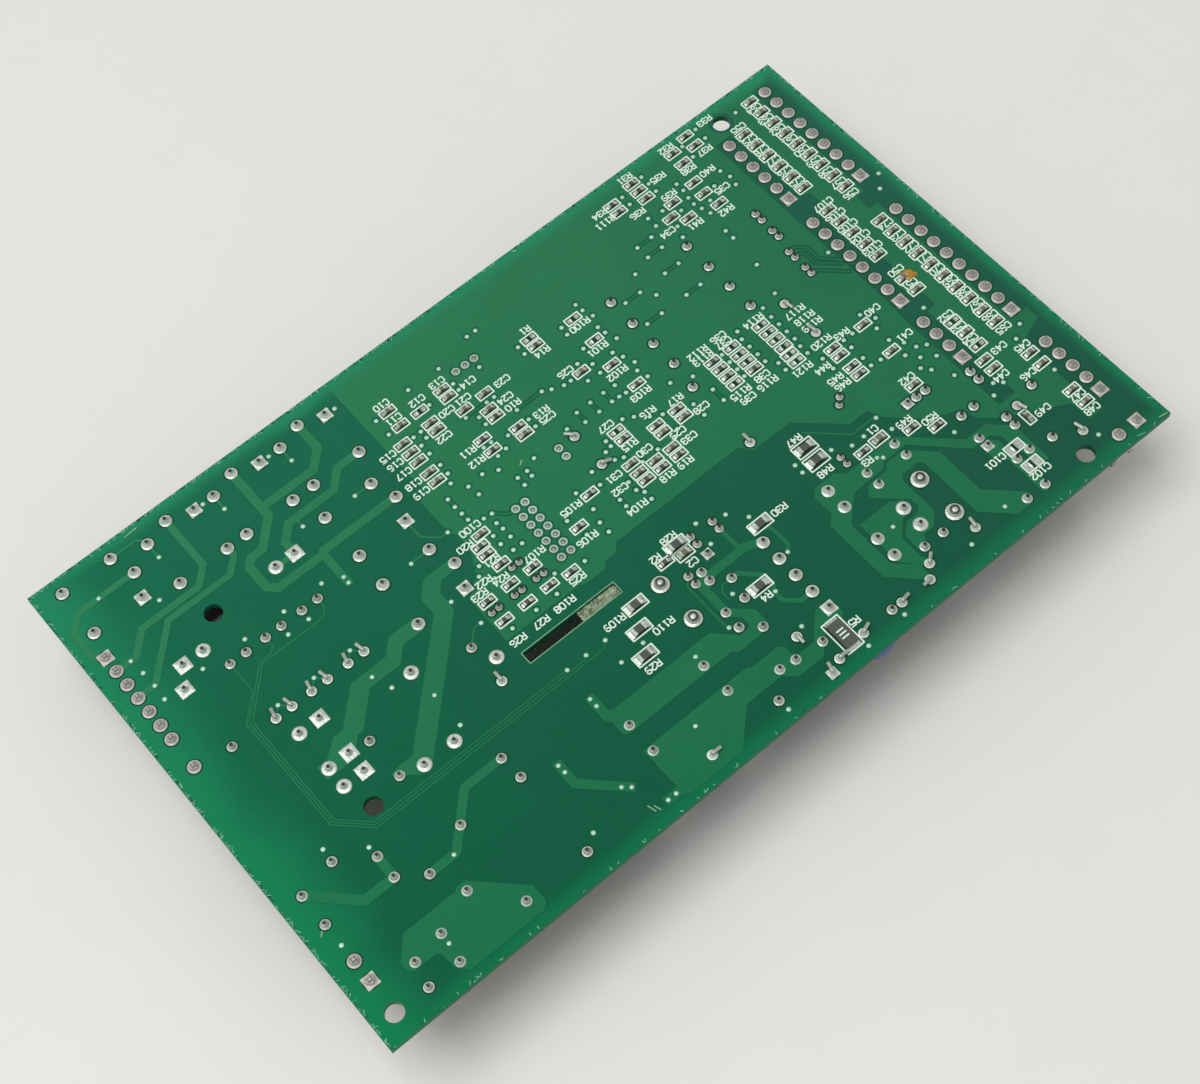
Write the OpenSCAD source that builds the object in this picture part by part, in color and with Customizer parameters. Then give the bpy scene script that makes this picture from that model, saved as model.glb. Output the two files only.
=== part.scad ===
// Refrigerator control board, lying on its tall parts with the solder side up.
// Layout points are [x, y] from the lower left corner of the board, seen from the solder side.
// The origin is under the middle of the board, on the surface that it lies on.

/* [Board] */
// Length of the board
board_l = 204; // [203:0.5:216]
// Width of the board
board_w = 125; // [124:0.5:136]
// Thickness of the laminate
board_t = 1.6; // [1:0.1:2.4]
// Diameter of the mounting holes
mount_d = 4.1; // [3:0.1:4.6]
// Length of the isolation slot
slot_l = 23.7; // [12:0.1:26]
// Width of the isolation slot
slot_w = 2.8; // [2:0.1:3.4]
// Height of the copper and its mask above the laminate
copper_t = 0.08; // [0.04:0.01:0.16]

/* [Solder joints] */
// Diameter of a wire lead
lead_d = 0.8; // [0.5:0.05:1]
// Gap between a lead and the wall of its hole, all round
lead_fit = 0.15; // [0.1:0.05:0.3]
// Length of lead past the solder side
lead_tail = 1.3; // [1:0.1:2]
// Height of a solder fillet up its lead
fillet_h = 0.9; // [0.5:0.1:1]
// Diameter of the pads round wire leads
wire_pad_d = 2.2; // [2:0.1:2.6]
// Diameter of the pads round relay and transformer pins
pin_pad_d = 2.8; // [2.4:0.1:3.4]
// Diameter of the solder cap on a via
via_d = 1; // [0.6:0.1:1.2]
// Height of the solder cap on a via
via_h = 0.14; // [0.1:0.02:0.3]

/* [Relays] */
// Length of a relay case
relay_l = 19.2; // [18.4:0.2:19.6]
// Width of a relay case
relay_w = 15.5; // [14.4:0.1:16]
// Height of a relay above the board
relay_h = 15.6; // [12:0.2:18]

/* [Connectors] */
// Distance from pin to pin in the multi-way connectors
pitch = 3.96; // [3.9:0.01:4]
// Distance from pin to pin in the two-way connectors
wide_pitch = 5.08; // [5:0.01:5.2]
// Side of a square post
post_w = 1.14; // [0.8:0.02:1.2]
// Height of the posts above the board
post_h = 11.4; // [9:0.2:13]
// Height of a housing's base
base_h = 3.2; // [2.4:0.1:4]
// Height of a housing's latch wall
wall_h = 9.6; // [6:0.2:12]
// Thickness of a housing's latch wall
wall_t = 1.3; // [1:0.1:1.8]

/* [Power supply] */
// Diameter of the bulk capacitors
bulk_d = 16; // [12:0.5:17]
// Height of the bulk capacitors above the board
bulk_h = 22; // [14:0.5:26]
// Height of the heat sinks above the board
sink_h = 22; // [20:0.5:26]
// Width of the heat sinks
sink_w = 15.4; // [14:0.2:17]
// Thickness of a heat sink's back plate
sink_t = 2; // [1.4:0.1:2.6]
// Number of fins on a heat sink
sink_fins = 6; // [4:1:7]
// Length of the transformer core across its winding
core_l = 25.4; // [24:0.2:27]
// Thickness of the transformer core
core_t = 6.6; // [5:0.2:7.6]
// Ring radius of the choke core
ring_r = 6.6; // [6.4:0.1:7.4]
// Turns in each of the two choke windings
ring_turns = 8; // [4:1:8]
// Diameter of the choke wire
ring_wire_d = 0.9; // [0.6:0.05:1]

/* [Small parts] */
// Length of a chip resistor or capacitor
chip_l = 1.6; // [1.4:0.1:1.8]
// Width of a chip resistor or capacitor
chip_w = 0.85; // [0.7:0.05:1]
// Length of the solder fillet at a chip's end
chip_fillet = 0.65; // [0.4:0.05:0.8]
// Side of the microcontroller's body
mcu_w = 14; // [12:0.5:14.5]
// Legs on each side of the microcontroller
mcu_legs = 16; // [8:1:18]

/* [Hidden] */
$fn = 48;
LAYOUT = [204, 125];    // board that the layout points are read on
STRETCH = [160.5, 86.5];    // points past these lines keep their distance from the far edges
hole_d = lead_d + 2 * lead_fit;
post_hole_d = post_w * sqrt(2) + 0.2;
post_pad_d = post_hole_d + 1.1;
sink_pin_d = 2;
sink_pad_d = 3.9;
bare_pad_d = 1.9;
pad_gap = 0.3;        // least gap between two pads
mount_rim = 0.4;      // bare laminate round a mounting hole
slot_corner = 0.2;    // the slot is punched, with nearly sharp corners
ring_core_r = 2.6;
ring_base_h = 1.6;
ring_arc = 140;       // angle that each winding of the choke covers
turn_r = ring_core_r + ring_wire_d / 2 + 0.02;    // radius of one turn
ring_z = ring_base_h + ring_r + ring_core_r + ring_wire_d;    // middle of the ring above the board
ring_top = ring_z + (ring_r + turn_r) * sin(ring_arc / 2) + ring_wire_d / 2;
board_z = max(bulk_h, sink_h, ring_top, relay_h, post_h);    // component face above the surface
bend = 0.3;   // room under a part that lies flat

MOUNTS = [[4.9, 5.5], [27.3, 96.3], [26.7, 40.8], [185.2, 119.5], [184.3, 4.7]];
SLOT = [80.85, 45.5];

// Relays: common pin and turn of the body; pins from the common pin, the third one square
RELAYS = [
    [20.3, 115, -90], [32.1, 120.6, 0], [49.1, 120.6, 0], [66.5, 120.6, 0], [71.8, 92.6, -90],
    [71.4, 72.1, -90]
];
RELAY_PINS = [[0, 0], [-6, -2], [6, -2], [-6, -14.1], [6, -14.1]];

// Connectors: square pin, number of ways, direction along y, side of the latch wall, empty way
HEADERS = [
    [4.8, 102.7, 9, -1, 1, 7], [198.2, 87.7, 9, 1, -1, -1], [197.8, 40.2, 10, 1, -1, -1],
    [197.4, 13.7, 5, 1, -1, -1], [182.4, 93.7, 6, 1, -1, -1], [182, 57.6, 8, 1, -1, -1],
    [181.9, 38.5, 4, 1, -1, -1]
];
LEFT_SUPPLY = [5.1, 13.2];    // first pin; the second is further along y
RIGHT_SUPPLY = [197.5, 3.4];   // first pin; the second is further back along x

// Transformer, choke and heat sinks
TRANSFORMER = [130.3, 23.6];
TRANSFORMER_PINS = [
    [-8.9, -9.9], [-8.9, -4.95], [-8.9, 0], [-8.9, 4.95], [-8.9, 9.9],
    [8.9, -9.9], [8.9, -4.95], [8.9, 4.95], [8.9, 9.9]
];
CHOKE = [44.6, 16.2];
CHOKE_PINS = [[-7.5, -10.2], [7.5, -10.2], [-7.5, 10.2], [7.5, 10.2]];
SWITCH_SINK = [102.4, 35.1];    // middle of the mounting face
DIODE_SINK = [151.2, 17.9];
SWITCH_SINK_PIN = -2.8;    // pins behind each mounting face
DIODE_SINK_PIN = -3.8;
SINK_PIN_Y = 5.1;
SWITCH_LEADS = [[105, 37.8], [107.6, 36.7], [105, 35.5], [107.6, 34.2]];
DIODE_LEADS = [[147.9, 20.3], [147.9, 15.3]];

// Two-lead parts: first lead, second lead, then the body's sizes
POWER_RESISTORS = [
    for (x = [23.2, 27.2, 32.1, 36.1, 41.3, 45.3]) [[x, 84.5], [x, 68.6], 3.6, 11],
    for (y = [99.3, 92, 85.1, 78.3]) [[135.9, y], [157.6, y], 5, 15]
];
SMALL_RESISTORS = [
    [[34.4, 52.2], [34.4, 42.4], 2.4, 6.3], [[62.1, 54.7], [62.1, 44.9], 2.4, 6.3],
    [[163.3, 73.7], [163.3, 63.8], 2.4, 6.3], [[182, 22.3], [182, 12.1], 2.4, 6.3],
    [[187.7, 23.9], [187.7, 9], 2.4, 6.3], [[133, 4.9], [140.7, 4.9], 2, 4.4],
    [[108.7, 78.7], [108.7, 69.7], 2.4, 6.3], [[135, 71.2], [135, 52.9], 3, 9]
];
DIODES = [
    [[13, 86], [13, 69.5], 2.7, 5.2], [[112.3, 2.6], [112.3, 13.2], 2.7, 5.2],
    [[143.1, 7.6], [155.6, 7.4], 2.7, 5.2], [[111.3, 39.1], [111.3, 31.7], 2, 4.2]
];
INDUCTORS = [[[83.1, 5.2], [100.4, 5.2], 4.6, 11]];
ELECTROLYTICS = [
    [[148, 31.3], [148, 27.8], 8], [[156.9, 32.6], [156.9, 29.1], 8], [[171.7, 28.2], [175.2, 28.2], 8],
    [[173, 13.2], [176.5, 13.2], 8], [[105, 10.1], [108.8, 9.6], 6.3], [[170.7, 21.9], [170.7, 19.4], 5],
    [[178.4, 21.8], [178.4, 19.3], 5], [[180.6, 34.8], [180.6, 32.3], 5], [[146.5, 37.7], [146.5, 35.7], 5],
    [[154.8, 47.2], [156.2, 48.6], 5], [[174.3, 95.6], [174.3, 93.5], 5], [[174.1, 89.8], [174.1, 87.7], 5],
    [[173, 83.2], [173, 81.2], 5], [[172.9, 77.8], [172.9, 75.8], 5], [[70, 58.1], [71.9, 58.1], 5],
    [[76, 58.1], [77.9, 58.1], 5], [[81.7, 58.1], [83.6, 58.1], 5], [[79.5, 63.4], [81.4, 63.4], 4.2]
];
ELECTROLYTIC_H = 11.5;
BOX_CAPACITORS = [
    [[15.8, 90.7], [20.8, 90.7]], [[43.1, 96.1], [48, 96.1]], [[24.8, 62.8], [29.8, 62.8]],
    [[24.8, 52.9], [29.8, 52.9]], [[24.8, 47.9], [29.8, 47.9]], [[168, 5.2], [173.1, 5.2]],
    [[105.3, 26.6], [110.3, 26.6]]
];
BOX_CAPACITOR = [7.2, 2.8, 7.5];
FILM_CAPACITOR_LEADS = [[20.9, 26.5], [20.9, 11.7]];
FILM_CAPACITOR = [18, 6.4, 13];
BULK_LEADS = [[[75, 20.7], [75, 13.5]], [[94.3, 20.7], [94.3, 13.5]]];
FUSE_LEADS = [[13.7, 37], [13.7, 10.5]];
FUSE = [5.2, 20];    // diameter and length
DISCS = [
    [[5.2, 35.2], [5.2, 27.7], 9, 3.2], [[12.7, 5], [20.2, 5], 9, 3.2],
    [[108.8, 19.3], [105.1, 22.4], 6, 2.2], [[115.4, 9], [115.4, 4], 6, 2.2],
    [[145, 11], [150, 10.9], 5.6, 1.8]
];
VARISTOR = [[26.5, 22.5], [29.8, 15.1], 10, 3.6];
THERMISTOR = [[39.5, 41], [47, 41], 13, 4.6];
Y_CAPACITOR = [[122.7, 5], [130.4, 5], 9.4, 4.2];
DISC_GAP = 1.6;    // board to the coating of a disc
REGULATOR_LEADS = [[165.5, 37.8], [168, 37.8], [170.5, 37.8]];
OPTO_PINS = [[111.2, 42.2], [111.2, 44.4], [116.9, 41.9], [116.9, 44.1]];
WIRE_LINK = [[21, 32], [51.7, 32], 0.8, 0];    // bare wire, with no body
POSTS = [[49.6, 58.5], [64.6, 49.7]];

// Pads that are square, and leads bent over before soldering with the way they point
SQUARE_PADS = [
    [13, 86], [20.8, 90.7], [48, 96.1], [29.8, 62.8], [29.8, 52.9], [29.8, 47.9], [147.9, 15.3],
    [170.7, 19.4], [111.3, 39.1], [112.3, 2.6], [165.5, 37.8]
];
CLINCHED = [
    [[83.1, 5.2], 0], [[112.3, 13.2], -90], [[112.3, 2.6], 75], [[115.4, 4], 0], [[122.7, 5], 20],
    [[133, 4.9], 10], [[140.7, 4.9], 190], [[143.1, 7.6], 40], [[155.6, 7.4], 80], [[135, 52.9], 90],
    [[163.3, 73.7], -80], [[163.3, 63.8], 95], [[108.7, 78.7], 130], [[108.7, 69.7], -20],
    [[182, 22.3], -70], [[187.7, 9], 100], [[62.1, 44.9], 90], [[23.2, 68.6], 80], [[27.2, 68.6], 100],
    [[32.1, 68.6], 80], [[36.1, 68.6], 100], [[41.3, 68.6], 80], [[45.3, 68.6], 100]
];

// Plated holes that carry no part
BARE_HOLES = [
    for (i = [0:6]) [88.6, 73.5 - 2.5 * i],
    for (i = [0:6]) [91.1, 73.5 - 2.5 * i],
    [100, 108.3], [102.5, 108.3], [105, 108.3], [104.4, 78.7], [104.4, 76.2]
];

// Chip parts on the solder side: middle of each, lying along x
CHIP_CAPACITORS = [
    [83, 110.2], [83, 105.6], [94.9, 106.6], [94.9, 104.3], [80.5, 101.6], [80.5, 98.8], [80.5, 96.1],
    [80.5, 92.4], [80.5, 89.7], [88.1, 101.8], [88.1, 99.5], [95.5, 99.5], [101.2, 99.8], [99.4, 96],
    [101.3, 86.2], [79.5, 73.7], [119.9, 90], [123.1, 66.9], [128.9, 66.9], [113.2, 65.6], [113.2, 62.9],
    [117.5, 62.9], [122.1, 62.9], [160, 107.4], [169.6, 107.5], [172, 58.5], [172, 49.6], [169.6, 40.3],
    [184.7, 34.9], [184.7, 32.1], [193, 29.7], [193, 26.2], [193, 17.5], [193, 13.6], [186.6, 42.5],
    for (i = [0:8]) [193.8, 87.8 + 3.97 * i],
    for (i = [0:9]) [193.2, 40.2 + 3.98 * i],
    for (i = [0:5]) [186.8, 93.7 + 3.97 * i],
    for (i = [0, 1, 3, 4, 5, 6, 7]) [186.6, 57.4 + 4.03 * i]
];
CHIP_RESISTORS = [
    [99.4, 93.7], [93.8, 91.2], [93.8, 87.7], [101.3, 88.5], [77.7, 71.5], [77.5, 69.2], [78.4, 65.5],
    for (x = [70.9, 76.9, 82.7], y = [60.6, 55]) [x, y],
    [87.9, 54.5], [95.7, 61.4], [102.3, 65.9], [116.9, 101.8], [125.9, 87], [126.7, 79.7], [116, 71.3],
    [123.1, 69.2], [128.9, 69.2], [113.2, 60.6], [117.5, 60.6], [122.1, 60.6], [142.2, 73], [142.2, 70.6],
    [142.2, 68.2], [147.6, 65.8], [152.5, 118.9], [152.5, 116.4], [159.4, 120.4], [159.4, 117.8],
    [159.4, 115.2], [176.8, 122.2], [171.6, 120.5], [176.8, 118.8], [171.6, 116.9], [169.9, 111.3],
    [162.9, 110.2], [162.8, 104.8], [170.4, 103.2], [163.2, 58.4], [163.2, 56], [163.2, 52.4],
    [163.2, 49.9], [103.5, 43.3], [150.8, 35.5], [162.1, 33], [166.4, 29.9]
];
// Places for chips that are left empty, with solder on both pads
EMPTY_CHIPS = [
    [88.1, 105.6], [116.9, 104.1], [127.1, 101.6], [127.1, 94.3], [116, 73.7], [142.2, 65.8], [147.6, 73.1],
    [147.6, 70.6], [147.6, 68.2], [155.8, 73.1], [155.8, 70.6], [155.8, 68.2], [155.8, 65.7],
    [155.5, 63.5], [155.5, 61.2], [186.5, 46.3], [186.4, 38.4], [174.5, 15.5], [174.5, 10.3]
];
// Larger chips, lying along x, and their length, width and height
LARGE_CHIPS = [
    [92.8, 40], [89.9, 35.3], [87.1, 30.1], [123.8, 37.1], [114.3, 26.5], [142.5, 44.3], [142.3, 40.5],
    [107.8, 44.9]
];
LARGE_CHIP = [3.1, 1.6, 0.55];
LARGE_PAD = [0.85, 0.3];    // how far its solder reaches past the ends, and past both sides together
// Capacitors a size up from the small ones, and a small one that lies along y
MIDDLE_CAPACITORS = [[107.8, 42.3], [155.3, 35.6]];
MIDDLE_CAPACITOR = [2, 1.25, 0.9];
TURNED_CAPACITOR = [181.6, 18.9];
// The broad shunt resistor lies along y
SHUNT_RESISTOR = [119.4, 7.5];
SHUNT = [3.2, 6.3, 0.6];

// Vias, each closed with solder
VIAS = [
    [40.3, 118.6], [57.5, 118.6], [75, 118.6], [26.2, 114.5], [43.1, 114.6], [60.6, 114.5], [11.3, 115],
    [20.6, 106.2], [8.3, 98.7], [8.7, 94.8], [8.9, 90.9], [8.7, 87.1], [18.4, 87.4], [28.7, 87.1],
    [38.4, 86.8], [48, 86.8], [36, 82], [41.2, 82], [25.2, 70.7], [34.2, 70.7], [43.3, 70.7], [43.1, 63],
    [44.7, 58.5], [50.1, 51.5], [53, 100.1], [65.5, 98.6], [64.6, 78], [74.7, 78.7], [52.3, 84.9],
    [52.3, 83.2], [65.4, 65.6], [73.2, 66.3], [74.7, 68.2], [75.4, 63.8], [67, 57.8], [13.9, 40.2],
    [20.9, 34.6], [5.1, 22.4], [32.4, 22.5], [20.8, 9.2], [50, 43], [89.6, 111.6], [97.7, 111.4],
    [79.8, 110.1], [79.8, 105.6], [90.7, 105.6], [97.7, 106.3], [97.7, 104.3], [83.3, 101.5],
    [83.3, 98.8], [83.4, 96.1], [83.4, 92.4], [83.3, 89.7], [82.3, 87.4], [85.3, 101.6], [85.3, 99.6],
    [94.5, 97.8], [100.2, 97.8], [102.2, 97.8], [96.7, 96], [96.7, 93.7], [92.8, 89.5], [94.8, 89.5],
    [98.5, 88.4], [96.2, 86.2], [93.8, 85.9], [104.2, 88.5], [104.2, 86.2], [79.5, 84.8], [79.5, 82.4],
    [79.6, 80.2], [79.7, 78.2], [84.6, 84.3], [88.6, 84.7], [85.1, 81.4], [91.8, 83.2], [99.1, 80.4],
    [93.6, 79], [93.6, 76.7], [96.1, 79], [96.1, 77.4], [82.3, 76.2], [84.3, 76], [83.6, 73.6],
    [81.2, 71.7], [83.8, 71.7], [81.2, 69.2], [83.8, 69.2], [82.3, 66.4], [84.6, 66.4], [71, 52.6],
    [77.2, 52.6], [82.6, 52.6], [85.2, 56.5], [91.6, 54.6], [100.3, 68], [94.8, 64.2], [100.6, 62.7],
    [99.6, 59.4], [99.6, 56.5], [95.8, 59], [73.4, 38.1], [78.3, 38.1], [83.3, 38.1], [72.8, 30.2],
    [72.8, 28.2], [59.1, 23.4], [59.2, 21.5], [65.5, 11.8], [67, 10.5], [55.4, 8.2], [70.6, 3.8],
    [72.6, 3.8], [82.6, 32.2], [94.4, 23.3], [84.6, 12], [100.6, 2.6], [88.6, 32.6], [107.3, 113.7],
    [109.6, 113.7], [104.5, 105.8], [113.8, 104.1], [113.8, 101.8], [123.9, 101.6], [123.7, 99.4],
    [129.9, 104.1], [130.1, 102], [130.9, 99.4], [124, 94.3], [129.8, 96.4], [130.1, 94.3], [138.2, 97.1],
    [142.3, 97.1], [138.2, 89.8], [142.3, 89.8], [144.6, 101.4], [144.5, 94.2], [149.4, 106.4],
    [153.5, 106.5], [149.5, 102.9], [153.5, 102.9], [149.5, 97.2], [153.4, 97.2], [149.3, 89.8],
    [153.3, 89.8], [103.8, 92], [110.6, 92], [112.5, 91], [115.1, 90], [116.9, 89.9], [120.6, 92.2],
    [123, 90], [131, 91.5], [128, 89.3], [122.8, 87.2], [129, 87], [119.6, 87.4], [112.8, 82.9],
    [112.7, 79.9], [116.5, 82.9], [116.5, 79.9], [120.1, 82.9], [120.1, 80], [122, 79.9], [123.7, 79.7],
    [129.7, 79.7], [123.1, 82.7], [129, 82.3], [130, 84.3], [108.7, 81.2], [132.2, 75.2], [136.8, 73.2],
    [118.9, 75.2], [121.1, 74], [123.6, 71.8], [112.9, 73.4], [112.9, 71.8], [111.2, 71.4], [106, 69.7],
    [111.4, 68.7], [113.2, 67.9], [105.3, 66.2], [126, 70.4], [125.9, 65.6], [132.4, 67.9], [132.4, 64.4],
    [137.8, 67.9], [137.8, 64.4], [115.4, 64.4], [119.7, 64.6], [124.5, 64.4], [110.1, 62.7],
    [110.1, 60.2], [106.1, 60.7], [106.1, 58.7], [111.1, 58.7], [111.1, 56.5], [144.9, 73.1],
    [144.9, 70.6], [144.9, 68.2], [144.9, 65.9], [150.6, 73.2], [150.6, 70.7], [150.6, 68.1],
    [150.6, 65.7], [151.2, 75.3], [152.4, 63.5], [152.4, 61.2], [146.3, 40.3], [138.3, 40.3],
    [138.3, 42.6], [113.3, 40.4], [114.1, 46], [120, 43.5], [123.2, 39.9], [123.7, 28.6], [109.1, 28.9],
    [143.4, 18.6], [114.6, 14.3], [153.5, 38.2], [150.2, 38.2], [152, 32.6], [121.6, 2.3], [131.6, 2.6],
    [152.4, 5.1], [115.9, 23.6], [103.6, 23.7], [162.4, 120.4], [162.4, 117.9], [162.3, 115.3],
    [155.7, 119.1], [155.7, 116.5], [174.6, 120.6], [179.9, 122.2], [179.9, 118.9], [174.5, 116.8],
    [166.9, 113.6], [166.9, 111.3], [156.2, 110.8], [159.9, 110.2], [166.4, 109], [156.2, 108.1],
    [163, 107.5], [172.7, 107.5], [166.2, 106.9], [176.4, 109.7], [177, 107.1], [176.5, 104.6],
    [169.5, 105.2], [166.7, 104.8], [159.6, 104.8], [167.3, 102.6], [158.6, 101.8], [166.6, 96.7],
    [166.6, 94.2], [165.7, 85.4], [189.6, 119.6], [201.6, 85.4], [163.6, 77.2], [159.2, 76.1],
    [159, 73.2], [159, 70.7], [159, 68.2], [159, 65.7], [158.6, 63.5], [158.6, 61.2], [179.2, 77.3],
    [166.4, 58.4], [160, 58], [166.4, 56], [160, 54.7], [166.4, 52.4], [166.4, 49.9], [173.3, 60.8],
    [168.9, 58.4], [175.2, 58], [173.6, 55.9], [173.5, 52], [168.9, 49.6], [175.4, 49.4], [173.4, 46.9],
    [176.6, 46.9], [178.6, 45.8], [175.4, 44.4], [173.6, 42.4], [175, 40.6], [178.2, 42.4], [184.5, 53],
    [199, 82.2], [158.4, 39.8], [159, 35.6], [177.6, 36.4], [168, 26.4], [182.2, 29.6], [183.9, 28.3],
    [180.2, 27.3], [193.9, 23.4], [163.4, 6.9], [189.4, 6.2], [153, 31.8], [196.6, 36.4], [193.4, 34.2]
];

// Tracks: width, then the points of the middle line
TRACKS = [
    [1.5, [[20.3, 115], [6.3, 115], [2.9, 111.6], [2.9, 104.5], [4.8, 102.7]]],
    [1.6, [[32.1, 120.6], [32.1, 106.8], [28.5, 103.2], [14.2, 103.2], [9.7, 98.7], [4.8, 98.7]]],
    [1.5, [[38.2, 106.5], [38.2, 104.3], [35, 101.1], [19.3, 101.1], [9.1, 90.9], [4.8, 90.9]]],
    [2, [[49.1, 120.6], [49.1, 107], [43.4, 101.3], [40.5, 101.3], [39, 99.8], [39, 93.7], [40.8, 91.9],
        [52.2, 91.9], [52.9, 92.6], [71.8, 92.6]]],
    [1.8, [[52.3, 91.8], [52.3, 82.4]]],
    [2, [[49.1, 109.5], [62.7, 109.5], [66.5, 113.3], [66.5, 120.6]]],
    [1.9, [[72.5, 106.5], [66.8, 106.5], [63, 102.7], [51.2, 102.7], [48, 99.5], [48, 96.1]]],
    [1.5, [[43.1, 96.1], [48, 96.1]]],
    [0.5, [[18.3, 121], [24.8, 121], [26.1, 119.7], [26.1, 114.5]]],
    [0.5, [[43.1, 118.6], [43.1, 114.6]]],
    [0.5, [[60.5, 118.6], [60.5, 114.5]]],
    [0.5, [[69.8, 98.6], [65.5, 98.6]]],
    [0.5, [[69.4, 78.1], [64.6, 78.1]]],
    [0.5, [[53, 100.1], [53, 102.7]]],
    [0.5, [[62.1, 54.7], [65.2, 57.8], [67, 57.8]]],
    [0.5, [[69.8, 86.6], [69.8, 81.7], [72.8, 78.7], [74.7, 78.7]]],
    [0.3, [[23.2, 84.5], [23.2, 76.7], [18, 71.5], [18, 43.2], [24.5, 36.7], [81.9, 36.7], [83.3, 38.1]]],
    [0.3, [[32.1, 84.5], [32.1, 82], [30.9, 80.8], [28, 80.8], [18.6, 71.4], [18.6, 43.4], [24.6, 37.4],
        [77.6, 37.4], [78.3, 38.1]]],
    [0.3, [[45.3, 84.5], [45.3, 82], [43.5, 80.2], [28.3, 80.2], [19.2, 71.1], [19.2, 43.6], [24.7, 38.1],
        [73.4, 38.1]]],
    [2.2, [[5.2, 35.2], [13.9, 26.5], [20.9, 26.5]]],
    [2, [[20.9, 26.5], [20.9, 32]]],
    [1.9, [[26.5, 22.5], [33, 22.5], [42.5, 32], [51.7, 32]]],
    [2, [[59.2, 24.3], [59.2, 18.3], [67.6, 9.9]]],
    [1, [[116.9, 41.9], [116.9, 35.4]]],
    [1.1, [[111.3, 31.7], [112.8, 31.7], [116.6, 27.9], [116.6, 25], [115.6, 24], [115.6, 21.2],
        [118.2, 18.65], [121.4, 18.65]]],
    [0.9, [[123.8, 36], [124.9, 34.9], [124.9, 30], [123.7, 28.6]]],
    [0.5, [[105, 37.8], [103.3, 36.1], [103.3, 24.2]]],
    [0.4, [[111.3, 31.7], [108.9, 31.7], [107.7, 30.5], [107.7, 28.2]]],
    [0.5, [[144.5, 47.5], [151.9, 40.1], [158.4, 40.1]]],
    [0.5, [[83.1, 5.2], [83.1, 2.6]]],
    [0.5, [[23.2, 68.6], [25.2, 70.7], [27.2, 68.6]]],
    [0.5, [[32.1, 68.6], [34.2, 70.7], [36.1, 68.6]]],
    [0.5, [[41.3, 68.6], [43.3, 70.7], [45.3, 68.6]]]
];

// Broad areas of copper
POURS = [
    [[57.4, 67.8], [51, 67.8], [47.8, 64.7], [39, 64.7], [31.8, 57.7], [29.5, 57.7], [25.5, 54.6],
        [23.1, 54.6], [23.1, 51.1], [29.8, 51.1], [33.4, 54.8], [34.8, 54.8], [41.3, 61.3], [49, 61.3],
        [52.2, 64.4], [57.4, 64.4]],
    [[71, 73.5], [64.3, 73.5], [61, 70.2], [61, 65.7], [40, 45.3], [39, 44.1], [35, 44.1], [33, 43.5],
        [37.7, 39.8], [40.5, 39.8], [51, 50], [64.8, 63.8], [65, 68.7], [67, 70.8], [71, 70.8]],
    [[11.5, 12.3], [15.5, 16.5], [28, 16.5], [28.7, 17], [30.7, 17], [40, 7.7], [40, 3.7], [38.7, 2.4],
        [20.7, 2.4], [18.7, 4.7], [18.5, 8.3], [17.7, 9.2], [12.3, 9.2], [11.5, 10.2]],
    [[71.9, 30.9], [74, 30.9], [74, 26], [74.8, 25.4], [99.8, 25.4], [104.1, 21], [106.3, 21],
        [107, 21.7], [107, 23.6], [104.5, 26.1], [104.5, 34.2], [106.4, 36.2], [118, 36.2], [121.4, 34.9],
        [121.4, 32.6], [118, 34.2], [108, 34.2], [106.4, 32.6], [106.4, 27], [110.2, 23.2], [110.2, 19],
        [107.5, 18.3], [101.3, 18.3], [100.5, 19.3], [73.8, 19.3], [72.8, 20], [72.8, 23.5], [71.9, 24.8]],
    [[73.6, 14.8], [100.5, 14.8], [101.2, 14.1], [108, 14.1], [109, 13.1], [109, 11.2], [110.1, 10.1],
        [114, 10.1], [118.9, 15.1], [122.9, 15.1], [122.9, 11.2], [121.8, 10.1], [117.2, 10.1],
        [113.3, 6.4], [106.8, 6.4], [104.3, 8.8], [95.2, 8.8], [88, 1.8], [74.6, 1.8], [73.6, 2.7],
        [69.8, 2.7], [69.8, 4.8], [73.6, 4.8]],
    [[137.6, 35.8], [142.8, 35.8], [144.7, 34], [158, 34], [160, 32], [168.6, 23.5], [174, 23.5],
        [178.2, 19.3], [178, 9], [175, 9], [175, 14], [174.4, 14.6], [174.4, 19.2], [172.7, 20.9],
        [168, 20.9], [158.4, 30.9], [152.5, 30.9], [151, 29.7], [143.4, 29.7], [140.6, 27.6],
        [137.4, 24.4], [137.4, 12.7], [141.6, 8.5], [141.2, 4.4], [139.1, 6.3], [134.1, 11.6],
        [134.1, 27.2], [136.1, 29.1], [136.1, 34.2]],
    [[138.6, 23.3], [146.6, 23.3], [148.9, 21.9], [148.9, 18.9], [146.2, 18.6], [142.9, 15.5],
        [142.9, 10.2], [143.9, 8], [142.5, 7.2], [138.6, 12.2]],
    [[169.5, 20.3], [171.8, 20.3], [173.2, 18.9], [173.2, 13.7], [173.9, 13], [173.9, 5], [172.3, 3.6],
        [171.5, 4.4], [171.5, 14.2], [169.5, 16.2]],
    [[144.6, 27.3], [146.2, 29], [151.3, 29], [152.7, 30.4], [157.2, 30.4], [162.5, 25], [162.5, 13],
        [169.2, 6.3], [169.2, 4.8], [168.2, 3.8], [164.2, 3.8], [158.3, 9.8], [158.3, 25.2], [157.3, 26.2],
        [153.3, 26.2], [152.2, 25.1], [152.2, 15.8], [149.5, 13.1], [146.8, 13.1], [145.2, 10],
        [143.7, 11.5], [143.7, 15.1], [146, 17.6], [149.4, 17.6], [150.4, 18.6], [150.4, 20.8],
        [144.6, 26.4]]
];

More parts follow.
